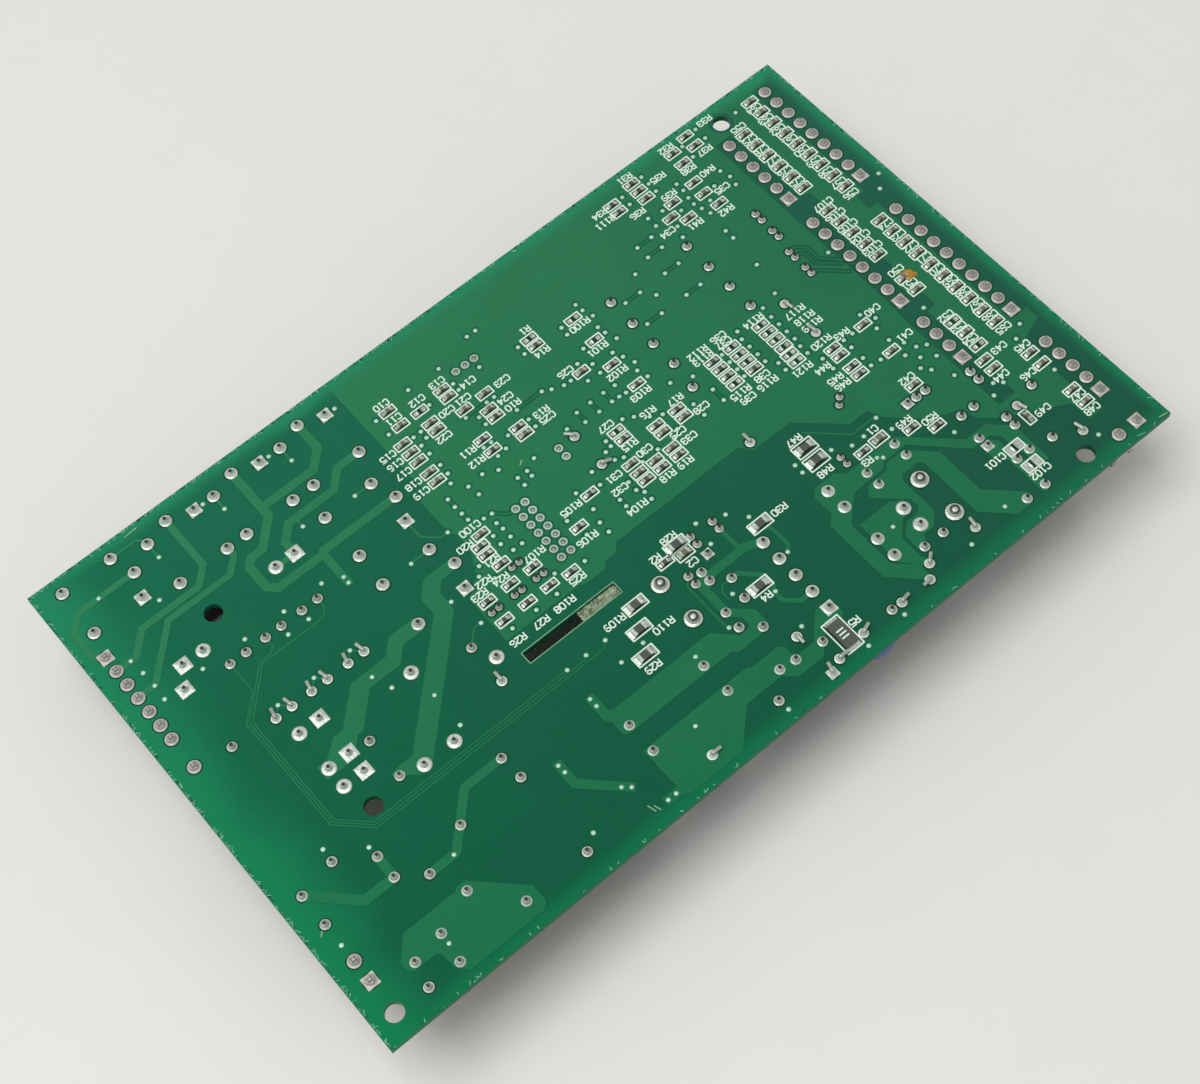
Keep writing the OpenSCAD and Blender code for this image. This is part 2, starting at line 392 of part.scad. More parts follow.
// Ground plane under the logic, the strips cut out of it, and the fine tracks that cross it
GROUND = [
    [77, 124], [77, 90], [74.8, 87.8], [74.8, 78.2], [75.8, 76.7], [76, 72.6], [72.7, 66.7],
    [68.5, 63.6], [68.3, 51.1], [87.2, 51.1], [88.3, 50.4], [93.5, 50.4], [94.6, 51.7], [97.6, 51.8],
    [99.3, 53.6], [132.3, 53.6], [134.2, 51], [144.3, 50.8], [153.4, 42.2], [158.1, 42.2], [159.6, 38.8],
    [165.9, 32.6], [169.9, 30.4], [171.5, 30], [173.3, 28.5], [173.5, 26], [177.1, 22.6], [187.4, 16.9],
    [190.6, 15], [190.6, 10], [195, 10], [195, 33], [200.6, 35], [200.6, 124]
];
GROUND_GAPS = [
    [[179.4, 24.9], [184, 24.9], [184.4, 42], [184.4, 51.9], [186.9, 51.9], [186.9, 55.6], [184.4, 57.4],
        [184.4, 63], [186.9, 64.6], [186.9, 68], [184.4, 69.4], [184.4, 87], [186.9, 88.4], [186.9, 91.6],
        [184.6, 92.8], [184.6, 115.5], [179.9, 115.5], [179.9, 60], [179.4, 52]],
    [[196, 121.4], [200.6, 121.4], [200.6, 38.5], [196, 38.5], [196, 79.7], [193.6, 79.7], [193.6, 84],
        [196, 84]],
    [[193.8, 11], [195, 10], [195, 32], [193.8, 31]]
];
FINE_TRACKS = [
    [[84.3, 76], [86.8, 73.5], [88.6, 73.5]], [[103.8, 92], [110.6, 92]], [[138.2, 97.1], [142.3, 97.1]],
    [[138.2, 89.8], [142.3, 89.8]], [[149.5, 97.2], [153.4, 97.2]], [[149.3, 89.8], [153.3, 89.8]],
    [[149.4, 106.4], [153.5, 106.4]], [[149.5, 102.9], [153.5, 102.9]], [[112.8, 82.9], [112.8, 79.9]],
    [[116.5, 82.9], [116.5, 79.9]], [[120.1, 82.9], [120.1, 80]], [[132.4, 67.9], [132.4, 64.4]],
    [[137.8, 67.9], [137.8, 64.4]], [[79.5, 84.8], [79.5, 82.4]], [[79.6, 80.2], [79.7, 78.2]],
    [[156.2, 110.8], [156.2, 108.1]], [[94.5, 97.8], [100.2, 97.8]], [[166.6, 96.7], [166.6, 94.2]],
    [[106.1, 60.7], [106.1, 58.7]], [[93.6, 79], [93.6, 76.7]], [[108.7, 81.2], [108.7, 78.7]],
    [[173, 83.2], [174.8, 83.2], [176.6, 81.4], [176.6, 77.4], [179.6, 74.4]],
    [[173, 81.2], [174.6, 81.2], [175.2, 80.6], [175.2, 77.2], [179.6, 72.8]],
    [[172.9, 75.8], [174.4, 75.3], [179.6, 70.1]]
];

// Names of the pieces

// ---- Placing ----
function at(p) = [
    p[0] - board_l / 2 + (p[0] > STRETCH[0] ? board_l - LAYOUT[0] : 0),
    p[1] - board_w / 2 + (p[1] > STRETCH[1] ? board_w - LAYOUT[1] : 0)
];
function turned(p, a) = [p[0] * cos(a) - p[1] * sin(a), p[0] * sin(a) + p[1] * cos(a)];
function near(p, points) = len([for (q = points) if (norm(q - p) < 0.3) 1]) > 0;
function angle(a, b) = atan2(b[1] - a[1], b[0] - a[0]);
function middle(a, b) = (a + b) / 2;

// z = 0 on the solder face, upwards
module solder_side() {
    translate([0, 0, board_z + board_t]) children();
}

// z = 0 on the component face, away from the board
module component_side() {
    translate([0, 0, board_z]) mirror([0, 0, 1]) children();
}

// A straight-sided block with its vertical corners cut off
module block(l, w, h, cut = 0.3) {
    linear_extrude(h) polygon([
        [l / 2 - cut, -w / 2], [l / 2, cut - w / 2], [l / 2, w / 2 - cut], [l / 2 - cut, w / 2],
        [cut - l / 2, w / 2], [-l / 2, w / 2 - cut], [-l / 2, cut - w / 2], [cut - l / 2, -w / 2]
    ]);
}

// ---- Lead and pin places ----
TWO_LEAD_PARTS = concat(POWER_RESISTORS, SMALL_RESISTORS, DIODES, INDUCTORS, [FUSE_LEADS]);
function relay_pin(r, q) = [r[0], r[1]] + turned(q, r[2]);
function ends(parts) = [for (p = parts, i = [0, 1]) p[i]];
WIRE_POINTS = concat(
    ends(TWO_LEAD_PARTS), ends(ELECTROLYTICS), ends(BOX_CAPACITORS), ends(DISCS), ends(BULK_LEADS),
    ends([VARISTOR, THERMISTOR, Y_CAPACITOR, FILM_CAPACITOR_LEADS]), SWITCH_LEADS, DIODE_LEADS,
    REGULATOR_LEADS, OPTO_PINS, ends([WIRE_LINK]), POSTS, [for (q = CHOKE_PINS) CHOKE + q]
);
PIN_POINTS = concat(
    [for (r = RELAYS, q = RELAY_PINS) relay_pin(r, q)], [for (q = TRANSFORMER_PINS) TRANSFORMER + q]
);
SQUARE_PINS = concat([for (r = RELAYS) relay_pin(r, RELAY_PINS[2])], [TRANSFORMER + TRANSFORMER_PINS[0]]);
function header_post(h, i) = [h[0], h[1] + h[3] * pitch * i];
function header_posts_of(h) = [for (i = [0:h[2] - 1]) if (i != h[5]) header_post(h, i)];
SUPPLY_POINTS = [
    LEFT_SUPPLY, LEFT_SUPPLY + [0, wide_pitch], RIGHT_SUPPLY, RIGHT_SUPPLY - [wide_pitch, 0]
];
POST_POINTS = concat([for (h = HEADERS, p = header_posts_of(h)) p], SUPPLY_POINTS);
SQUARE_POSTS = concat([for (h = HEADERS) header_post(h, 0)], [LEFT_SUPPLY, RIGHT_SUPPLY]);
SINK_POINTS = [
    for (s = [-1, 1]) SWITCH_SINK + [SWITCH_SINK_PIN, s * SINK_PIN_Y],
    for (s = [-1, 1]) DIODE_SINK - [DIODE_SINK_PIN, s * SINK_PIN_Y]
];

// Pad round a wire lead, kept clear of the lead next to it
function nearest(p) = min([for (q = WIRE_POINTS) if (norm(q - p) > 0.3) norm(q - p)]);
function wire_pad(p) = min(wire_pad_d, nearest(p) - pad_gap);

// ---- Board ----
module circuit_board() {
    color("seagreen") translate([0, 0, board_z]) difference() {
        translate([-board_l / 2, -board_w / 2, 0]) cube([board_l, board_w, board_t]);
        for (p = MOUNTS) translate(at(p)) hole(mount_d);
        translate(at(SLOT)) slot();
        for (p = WIRE_POINTS) translate(at(p)) hole(hole_d);
        for (p = PIN_POINTS) translate(at(p)) hole(hole_d);
        for (p = BARE_HOLES) translate(at(p)) hole(hole_d);
        for (p = POST_POINTS) translate(at(p)) hole(post_hole_d);
        for (p = SINK_POINTS) translate(at(p)) hole(sink_pin_d + 2 * lead_fit);
    }
}

module hole(d) {
    translate([0, 0, -1]) cylinder(d = d, h = board_t + 2);
}

module slot() {
    translate([0, 0, -1]) block(slot_l, slot_w, board_t + 2, slot_corner);
}

// ---- Copper ----
function unit(v) = v / norm(v);
function across(v) = [-v[1], v[0]];
// Corner of a strip of width w along p, mitred half way between its two runs
function corner(p, i, w) =
    let (a = unit(i > 0 ? p[i] - p[i - 1] : p[1] - p[0]),
         b = i < len(p) - 1 ? unit(p[i + 1] - p[i]) : a,
         m = across(a) + across(b))
    p[i] + m * w / (m * m);
function strip(p, w) = concat(
    [for (i = [0:len(p) - 1]) corner(p, i, w)], [for (i = [len(p) - 1:-1:0]) corner(p, i, -w)]
);
function placed(points) = [for (p = points) at(p)];

module flat(points) {
    polygon(placed(points));
}

module discs(points, d) {
    for (p = points) translate(at(p)) circle(d = d);
}

module squares(points, w) {
    for (p = points) translate(at(p)) square(w, center = true);
}

module solder_side_copper() {
    color("mediumseagreen") solder_side() linear_extrude(copper_t) {
        difference() {
            union() {
                for (t = TRACKS) flat(strip(t[1], t[0]));
                for (p = POURS) flat(p);
            }
            pads(0);
        }
        difference() {
            flat(GROUND);
            for (p = GROUND_GAPS) flat(p);
            for (p = FINE_TRACKS) flat(strip(p, 1.2));
            pads(0.8);
        }
        difference() {
            for (p = FINE_TRACKS) flat(strip(p, 0.35));
            pads(0);
        }
    }
}

// Every pad and via, grown by a margin
module pads(margin) {
    for (p = WIRE_POINTS) discs([p], wire_pad(p) + margin);
    discs(PIN_POINTS, pin_pad_d + margin);
    discs(POST_POINTS, post_pad_d + margin);
    discs(SINK_POINTS, sink_pad_d + margin);
    discs(BARE_HOLES, bare_pad_d + margin);
    discs(VIAS, via_d + margin);
    discs(MOUNTS, mount_d + 2 * mount_rim + margin);
    squares(SQUARE_PADS, wire_pad_d + margin);
    squares(SQUARE_PINS, pin_pad_d + margin);
    squares(SQUARE_POSTS, post_pad_d + margin);
}

// ---- Solder ----
// A joint: a plug in the hole, then a fillet that climbs the lead; centre left open for a round lead
module joint(lead, hole, pad, h = fillet_h, open = true) {
    inner = open ? lead / 2 : 0;
    rotate_extrude() polygon([
        [inner, -board_t], [hole / 2, -board_t], [hole / 2, 0], [pad / 2, 0], [pad / 2, copper_t],
        [pad * 0.36, 0.28 * h], [lead / 2 + 0.22, 0.7 * h], [lead / 2 + 0.08, h], [inner, h]
    ]);
}

// The corners of a square pad, round a joint
module square_pad(pad) {
    difference() {
        linear_extrude(copper_t) square(pad, center = true);
        translate([0, 0, -1]) cylinder(d = pad, h = 3);
    }
}

// Angles of the leads that are bent over at p, if any
function clinch(p) = [for (c = CLINCHED) if (norm(c[0] - p) < 0.3) c[1]];
clinch_h = 0.4;      // height of the fillet under a lead that is bent over

// A quarter bend, or nearly: from the origin upwards, then over towards +x
module elbow(r, a = 90) {
    translate([r, 0, 0]) rotate([-90, 0, 0]) rotate([0, 0, 180]) rotate_extrude(angle = a)
        translate([r, 0]) circle(d = lead_d);
}

module lead_solder() {
    color("silver") solder_side() {
        for (p = WIRE_POINTS) translate(at(p)) {
            joint(lead_d, hole_d, wire_pad(p), len(clinch(p)) == 0 ? fillet_h : clinch_h);
            if (near(p, SQUARE_PADS)) square_pad(wire_pad_d);
        }
        for (p = PIN_POINTS) translate(at(p)) {
            joint(lead_d, hole_d, pin_pad_d);
            if (near(p, SQUARE_PINS)) square_pad(pin_pad_d);
        }
        for (p = SINK_POINTS) translate(at(p)) joint(sink_pin_d, sink_pin_d + 2 * lead_fit, sink_pad_d);
    }
}

module post_solder() {
    color("silver") solder_side() for (p = POST_POINTS) translate(at(p)) {
        difference() {
            joint(post_w * 1.2, post_hole_d, post_pad_d, open = false);
            translate([0, 0, -board_t - 1]) linear_extrude(board_t + 3) square(post_w, center = true);
        }
        if (near(p, SQUARE_POSTS)) square_pad(post_pad_d);
    }
}

module bare_hole_rings() {
    color("lightgray") solder_side() for (p = BARE_HOLES) translate(at(p)) rotate_extrude()
        translate([hole_d / 2, 0]) square([(bare_pad_d - hole_d) / 2, copper_t]);
}

module via_caps() {
    color("silver") solder_side() for (p = VIAS) translate(at(p)) rotate_extrude()
        polygon([[0, 0], [via_d / 2, 0], [via_d * 0.36, via_h * 0.8], [via_d * 0.15, via_h], [0, via_h]]);
}

// ---- Chips on the solder side ----
chip_gap = copper_t + 0.05;    // under a chip

module chip_bodies(points, l, w, h) {
    solder_side() translate([0, 0, chip_gap]) for (p = points) translate(at(p)) block(l, w, h, 0.06);
}

// Solder at both ends of a chip of length l; h is how far it climbs
module chip_ends(l, w, h, reach) {
    for (s = [0, 1]) mirror([s, 0, 0]) translate([l / 2, w / 2, 0]) rotate([90, 0, 0])
        linear_extrude(w) polygon([
            [0, copper_t], [reach, copper_t], [reach, copper_t + 0.06], [0.35 * reach, 0.55 * h], [0, h]
        ]);
}

module chip_resistors() {
    color("dimgray") chip_bodies(CHIP_RESISTORS, chip_l, chip_w, 0.45);
}

module chip_capacitors() {
    color("tan") {
        chip_bodies(CHIP_CAPACITORS, chip_l, chip_w, 0.8);
        chip_bodies(MIDDLE_CAPACITORS, MIDDLE_CAPACITOR[0], MIDDLE_CAPACITOR[1], MIDDLE_CAPACITOR[2]);
        chip_bodies([TURNED_CAPACITOR], chip_w, chip_l, 0.8);
    }
}

module chip_solder() {
    color("gainsboro") solder_side() {
        for (p = CHIP_RESISTORS) translate(at(p)) chip_ends(chip_l, chip_w, 0.45, chip_fillet);
        for (p = CHIP_CAPACITORS) translate(at(p)) chip_ends(chip_l, chip_w, 0.7, chip_fillet);
        for (p = EMPTY_CHIPS) translate(at(p)) chip_ends(chip_l * 0.55, chip_w + 0.15, 0.2, 1);
        for (p = LARGE_CHIPS) translate(at(p))
            chip_ends(LARGE_CHIP[0], LARGE_CHIP[1] + LARGE_PAD[1], 0.5, LARGE_PAD[0]);
        for (p = MIDDLE_CAPACITORS) translate(at(p))
            chip_ends(MIDDLE_CAPACITOR[0], MIDDLE_CAPACITOR[1], 0.8, chip_fillet);
        translate(at(TURNED_CAPACITOR)) rotate([0, 0, 90]) chip_ends(chip_l, chip_w, 0.7, chip_fillet);
        translate(at(SHUNT_RESISTOR)) rotate([0, 0, 90]) chip_ends(SHUNT[1], SHUNT[0], 0.5, chip_fillet);
    }
}

module large_chip_resistors() {
    color("#222222") chip_bodies(LARGE_CHIPS, LARGE_CHIP[0], LARGE_CHIP[1], LARGE_CHIP[2]);
}

module shunt_resistor() {
    color("#222222") chip_bodies([SHUNT_RESISTOR], SHUNT[0], SHUNT[1], SHUNT[2]);
}

// ---- Relays ----
relay_feet = 0.4;       // case above the board
relay_back = 2.7;       // common pin to the end of the case
relay_case_wall = 0.5;    // step between the case and its base

module relay(i) {
    r = RELAYS[i];
    color("#1c1c1e") component_side() translate(at(r)) rotate([0, 0, r[2]])
        translate([0, relay_back - relay_l / 2, 0]) {
            for (x = [-1, 1], y = [-1, 1])
                translate([x * (relay_w / 2 - 1), y * (relay_l / 2 - 1.2), 0])
                    cylinder(d = 1, h = relay_feet);
            translate([0, 0, relay_feet])
                block(relay_w - 2 * relay_case_wall, relay_l - 2 * relay_case_wall, 1.2, 0.3);
            translate([0, 0, relay_feet + 1.2])
                block(relay_w, relay_l, relay_h - relay_feet - 1.6, 0.9);
            translate([0, 0, relay_h - 0.4]) block(relay_w - 0.8, relay_l - 0.8, 0.4, 0.9);
        }
}

module relay_1() { relay(0); }
module relay_2() { relay(1); }
module relay_3() { relay(2); }
module relay_4() { relay(3); }
module relay_5() { relay(4); }
module relay_6() { relay(5); }

// A round pin from a depth under the board to its tip past the solder side
module pin(depth, d = lead_d, tail = lead_tail) {
    translate([0, 0, -board_t - tail]) cylinder(d = d, h = depth + board_t + tail - d / 4);
    translate([0, 0, depth - d / 4]) cylinder(d = d, h = d / 4);
}

module relay_pins() {
    color("darkgray") component_side() for (r = RELAYS, q = RELAY_PINS)
        translate(at(relay_pin(r, q))) pin(relay_feet);
}

// ---- Connectors ----
housing_w = 8.4;      // base across the row of posts
latch_notch = 1.2;     // gap cut in the latch wall between ways
latch_lip = 0.5;

// Housing of n ways along y with its first post at the origin; the latch wall is towards +x
module housing(n, step, tall) {
    length = (n - 1) * step + 3.9;
    difference() {
        translate([0, length - 1.95, 0]) rotate([90, 0, 0]) linear_extrude(length) polygon([
            [-housing_w / 2 + 0.4, 0], [housing_w / 2, 0], [housing_w / 2, tall - 0.8],
            [housing_w / 2 - 0.3, tall], [housing_w / 2 - wall_t - latch_lip, tall - 0.5],
            [housing_w / 2 - wall_t - latch_lip, tall - 1.1], [housing_w / 2 - wall_t, tall - 1.8],
            [housing_w / 2 - wall_t, base_h], [-housing_w / 2, base_h], [-housing_w / 2, 0.4]
        ]);
        for (i = [0:n - 1]) translate([0, i * step, 0]) {
            translate([-post_w / 2, -post_w / 2, -1]) cube([post_w, post_w, base_h + 2]);
            translate([-housing_w / 2 - 1, -0.9, -1]) cube([1.8, 1.8, base_h + 2]);
        }
        for (i = [0:n - 2])
            translate([housing_w / 2 - wall_t - 1, (i + 0.5) * step - latch_notch / 2, base_h + 2])
                cube([wall_t + 2, latch_notch, tall]);
    }
}

module header(i) {
    h = HEADERS[i];
    color("ivory") component_side() translate(at(h)) mirror([h[4] < 0 ? 1 : 0, 0, 0])
        mirror([0, h[3] < 0 ? 1 : 0, 0]) housing(h[2], pitch, wall_h);
}

module left_header() { header(0); }
module right_header_top() { header(1); }
module right_header_middle() { header(2); }
module right_header_bottom() { header(3); }
module inner_header_top() { header(4); }
module inner_header_middle() { header(5); }
module inner_header_bottom() { header(6); }

module left_supply_header() {
    color("ivory") component_side() translate(at(LEFT_SUPPLY)) housing(2, wide_pitch, wall_h);
}

// The supply header at the corner has a low base and no latch wall
module right_supply_header() {
    color("ivory") component_side() translate(at(RIGHT_SUPPLY)) difference() {
        translate([-wide_pitch / 2, 0, 0]) block(wide_pitch + 5, 5, base_h, 0.5);
        for (i = [0, 1]) translate([-i * wide_pitch, 0, -1]) linear_extrude(base_h + 2)
            square(post_w, center = true);
    }
}

// A square post with chamfered ends, from its tail to its tip
module post(height) {
    low = -board_t - lead_tail;
    tip = 0.3;
    profile = [
        [-post_w / 2 + tip, low], [post_w / 2 - tip, low], [post_w / 2, low + tip],
        [post_w / 2, height - 2 * tip], [post_w / 2 - tip, height], [tip - post_w / 2, height],
        [-post_w / 2, height - 2 * tip], [-post_w / 2, low + tip]
    ];
    intersection() {
        translate([0, post_w, 0]) rotate([90, 0, 0]) linear_extrude(2 * post_w) polygon(profile);
        translate([-post_w, 0, 0]) rotate([90, 0, 90]) linear_extrude(2 * post_w) polygon(profile);
    }
}

module header_posts() {
    color("gainsboro") component_side() {
        for (h = HEADERS, p = header_posts_of(h)) translate(at(p)) post(post_h);
        for (p = SUPPLY_POINTS) translate(at(p)) post(post_h);
    }
}

// ---- Transformer ----
// The winding's axis runs along x, between the two rows of pins
core_leg = 6.4;       // centre leg; the outer legs are half as wide
core_window = 5.6;     // room for the winding beside the centre leg
core_reach = 10;        // half the core's length along the axis
core_mid = 9.4;        // core's middle above the board
rail_w = 3.6;
rail_h = 3.4;
rail_l = 24;
flange_t = 1;
pin_row = 8.9;
flange_x = core_reach - core_leg / 2 - flange_t - 0.1;
coil_r = core_leg / 2 + core_window - 0.5;    // outside of the winding
tube_t = 0.9;

module transformer_frame() {
    component_side() translate(at(TRANSFORMER)) children();
}

module transformer_core() {
    yoke = core_leg / 2;
    window_w = core_l / 2 - yoke - core_leg / 2;
    color("#3a3a3c") transformer_frame() translate([0, 0, core_mid - core_t / 2]) difference() {
        linear_extrude(core_t) square([2 * core_reach, core_l], center = true);
        for (s = [-1, 1])
            translate([yoke - core_reach, s * (core_leg + window_w) / 2 - window_w / 2, -1])
                cube([2 * (core_reach - yoke), window_w, core_t + 2]);
        for (s = [-1, 1]) translate([-0.06, s * core_l / 2 - 0.15, -1]) cube([0.12, 0.3, core_t + 2]);
    }
}

// Tube round the centre leg with a flange at each end, on two rails that hold the pins
module transformer_bobbin() {
    tube = [2 * flange_x, core_leg + 2 * tube_t, core_t + 2 * tube_t];
    color("#26262a") transformer_frame() difference() {
        union() {
            translate([-flange_x, -tube[1] / 2, core_mid - tube[2] / 2]) cube(tube);
            for (s = [-1, 1]) mirror([s < 0 ? 1 : 0, 0, 0]) {
                translate([flange_x, -coil_r - 0.3, 0.8])
                    cube([flange_t, 2 * coil_r + 0.6, core_mid + coil_r]);
                translate([flange_x, -rail_l / 2, 0.3])
                    cube([pin_row + rail_w / 2 - flange_x, rail_l, rail_h]);
                for (y = [-1, 1]) translate([pin_row, y * (rail_l / 2 - 1.2), 0]) cylinder(d = 1.4, h = 0.5);
            }
        }
        translate([-core_reach - 1, -core_leg / 2 - 0.05, core_mid - core_t / 2 - 0.05])
            cube([2 * core_reach + 2, core_leg + 0.1, core_t + 0.1]);
        for (q = TRANSFORMER_PINS) translate([q[0], q[1], -1]) cylinder(d = lead_d, h = rail_h);
    }
}

// Winding under tape, a rounded ring round the bobbin's tube
module transformer_winding() {
    outer = [2 * (coil_r - 0.2), 2 * (core_t / 2 + core_window - 0.9)];
    color("#e0b341") transformer_frame() translate([-flange_x + 0.05, 0, core_mid]) rotate([90, 0, 90])
        linear_extrude(2 * flange_x - 0.1) difference() {
            union() {
                square([outer[0] - 4, outer[1]], center = true);
                square([outer[0], outer[1] - 4], center = true);
                for (x = [-1, 1], y = [-1, 1])
                    translate([x * (outer[0] / 2 - 2), y * (outer[1] / 2 - 2)]) circle(r = 2);
            }
            square([core_leg + 2 * tube_t, core_t + 2 * tube_t], center = true);
        }
}

module transformer_pins() {
    color("silver") transformer_frame() for (q = TRANSFORMER_PINS) translate([q[0], q[1], 0]) pin(rail_h - 1);
}

// ---- Choke: a coated ring on a base, with two windings ----
module choke_frame() {
    component_side() translate(at(CHOKE)) children();
}

module choke_base() {
    color("#222226") choke_frame() difference() {
        block(20, 24.4, ring_base_h, 1.5);
        for (q = CHOKE_PINS) translate([q[0], q[1], -1]) cylinder(d = lead_d, h = ring_base_h + 2);
    }
}

module choke_core() {
    color("#2f4f3a") choke_frame() translate([0, 0, ring_z]) rotate([90, 0, 0])
        rotate_extrude() translate([ring_r, 0]) circle(r = ring_core_r);
}

module choke_windings() {
    step = ring_arc / (ring_turns - 1);
    color("#b5652b") choke_frame() translate([0, 0, ring_z]) rotate([90, 0, 0])
        for (s = [0, 180], i = [0:ring_turns - 1]) rotate([0, 0, s - ring_arc / 2 + i * step])
            translate([ring_r, 0, 0]) rotate([90, 0, 0])
                rotate_extrude() translate([turn_r, 0]) circle(d = ring_wire_d);
}

// ---- Capacitors ----
// A round can with its crimp near the leads, standing on the board
module can(d, h) {
    r = d / 2;
    groove = 0.04 * d;
    translate([0, 0, 0.2]) rotate_extrude() polygon([
        [0, 0.3], [r - 0.55, 0.3], [r - 0.55, 0], [r - 0.3, 0], [r, 0.3], [r, 1.6], [r - groove, 2.1],
        [r - groove, 2.5], [r, 3], [r, h - 0.7], [r - 0.5, h - 0.2], [r - 0.9, h - 0.2], [r - 0.9, h - 0.4],
        [0, h - 0.4]
    ]);
}

module bulk_capacitor(i) {
    leads = BULK_LEADS[i];
    color("#23305a") component_side() translate(at(middle(leads[0], leads[1]))) can(bulk_d, bulk_h);
}

module bulk_capacitor_1() { bulk_capacitor(0); }
module bulk_capacitor_2() { bulk_capacitor(1); }

module electrolytic_capacitors() {
    color("#1d1d22") component_side() for (c = ELECTROLYTICS)
        translate(at(middle(c[0], c[1]))) can(c[2], ELECTROLYTIC_H);
}

module between(leads) {
    translate(at(middle(leads[0], leads[1]))) rotate([0, 0, angle(leads[0], leads[1])]) children();
}

// A moulded case over two leads, with a small foot at each corner
module boxed(size) {
    translate([0, 0, 0.4]) block(size[0], size[1], size[2] - 0.4, 0.25);
    for (x = [-1, 1], y = [-1, 1]) translate([x * (size[0] / 2 - 0.7), y * (size[1] / 2 - 0.4), 0])
        cylinder(d = 0.7, h = 0.5);
}

module film_capacitor() {
    color("goldenrod") component_side() between(FILM_CAPACITOR_LEADS) boxed(FILM_CAPACITOR);
}

module box_capacitors() {
    color("firebrick") component_side() for (c = BOX_CAPACITORS) between(c) boxed(BOX_CAPACITOR);
}

// A coated disc on edge, its coating running a little way down each lead
module disc(leads, lean = 0) {
    d = leads[2];
    t = leads[3];
    half = norm(leads[1] - leads[0]) / 2;
    between(leads) {
        translate([0, 0, DISC_GAP]) rotate([lean, 0, 0]) translate([0, 0, d / 2]) rotate([90, 0, 0])
            rotate_extrude() polygon([
                [0, -t / 2], [d / 2 - 0.3 * t, -t / 2], [d / 2 - 0.08 * t, -0.3 * t], [d / 2, 0],
                [d / 2 - 0.08 * t, 0.3 * t], [d / 2 - 0.3 * t, t / 2], [0, t / 2]
            ]);
        rim = d / 2 - sqrt(max(d * d / 4 - half * half, 0));
        for (s = [-1, 1]) translate([s * half, 0, DISC_GAP - 0.4]) cylinder(d = lead_d + 0.5, h = rim + 0.9);
    }
}

module varistor() {
    color("#2a6fb0") component_side() disc(VARISTOR);
}

module thermistor() {
    color("#2d2d2d") component_side() disc(THERMISTOR);
}

module disc_capacitors() {
    color("chocolate") component_side() for (c = DISCS) disc(c);
}

module y_capacitor() {
    color("#3d62b8") component_side() disc(Y_CAPACITOR, 4);
}

// ---- Fuse, resistors and diodes, lying along the board ----
function lie_depth(p) = p[2] / 2 + bend;

// Turned so that x runs along the part, at the height of its axis
module lying(p) {
    between(p) translate([0, 0, lie_depth(p)]) rotate([0, 90, 0]) children();
}

module fuse_tube() {
    d = FUSE[0] - 0.5;
    color("lightcyan") component_side() lying(concat(FUSE_LEADS, FUSE))
        translate([0, 0, 1 - FUSE[1] / 2]) cylinder(d = d, h = FUSE[1] - 2);
}

fuse_cap_l = 5.4;

module fuse_caps() {
    color("silver") component_side() lying(concat(FUSE_LEADS, FUSE)) for (s = [0, 1]) mirror([0, 0, s])
        translate([0, 0, -FUSE[1] / 2]) difference() {
            cylinder(d = FUSE[0], h = fuse_cap_l);
            translate([0, 0, 1]) cylinder(d = FUSE[0] - 0.5, h = fuse_cap_l);
        }
}

// A body with thicker ends, as a coated resistor has
module dog_bone(d, l) {
    r = d / 2;
    e = l / 2;
    rotate_extrude() polygon([
        [0, -e], [r * 0.6, -e], [r, 0.12 * l - e], [r, 0.2 * l - e], [r * 0.86, 0.28 * l - e],
        [r * 0.86, e - 0.28 * l], [r, e - 0.2 * l], [r, e - 0.12 * l], [r * 0.6, e], [0, e]
    ]);
}

module power_resistors() {
    color("#7fa8a0") component_side() for (p = POWER_RESISTORS) lying(p) dog_bone(p[2], p[3]);
}

module small_resistors() {
    color("#c8ab78") component_side() for (p = SMALL_RESISTORS) lying(p) dog_bone(p[2], p[3]);
}

module diodes() {
    color("#1e1e20") component_side() for (p = DIODES) lying(p) rotate_extrude() polygon([
        [0, -p[3] / 2], [p[2] / 2 - 0.2, -p[3] / 2], [p[2] / 2, 0.2 - p[3] / 2], [p[2] / 2, p[3] / 2 - 0.2],
        [p[2] / 2 - 0.2, p[3] / 2], [0, p[3] / 2]
    ]);
}

module axial_inductor() {
    color("#3f7f4f") component_side() for (p = INDUCTORS) lying(p) dog_bone(p[2], p[3]);
}

// ---- Heat sinks and what they cool ----
sink_gap = 0.5;        // heat sink above the board
fin_l = 5.4;
fin_t = 1;
tab_t = 1.3;          // metal tab of a power part
package_t = 4.4;
package_w = 10;
package_low = 3.2;     // underside of a power part above the board
package_h = 9;
tab_top = 15.6;        // top of the tab above the underside
screw_up = 12.6;       // screw above the underside
screw_d = 3;
nut_w = 6.2;          // across the corners of the nut
nut_h = 2.4;

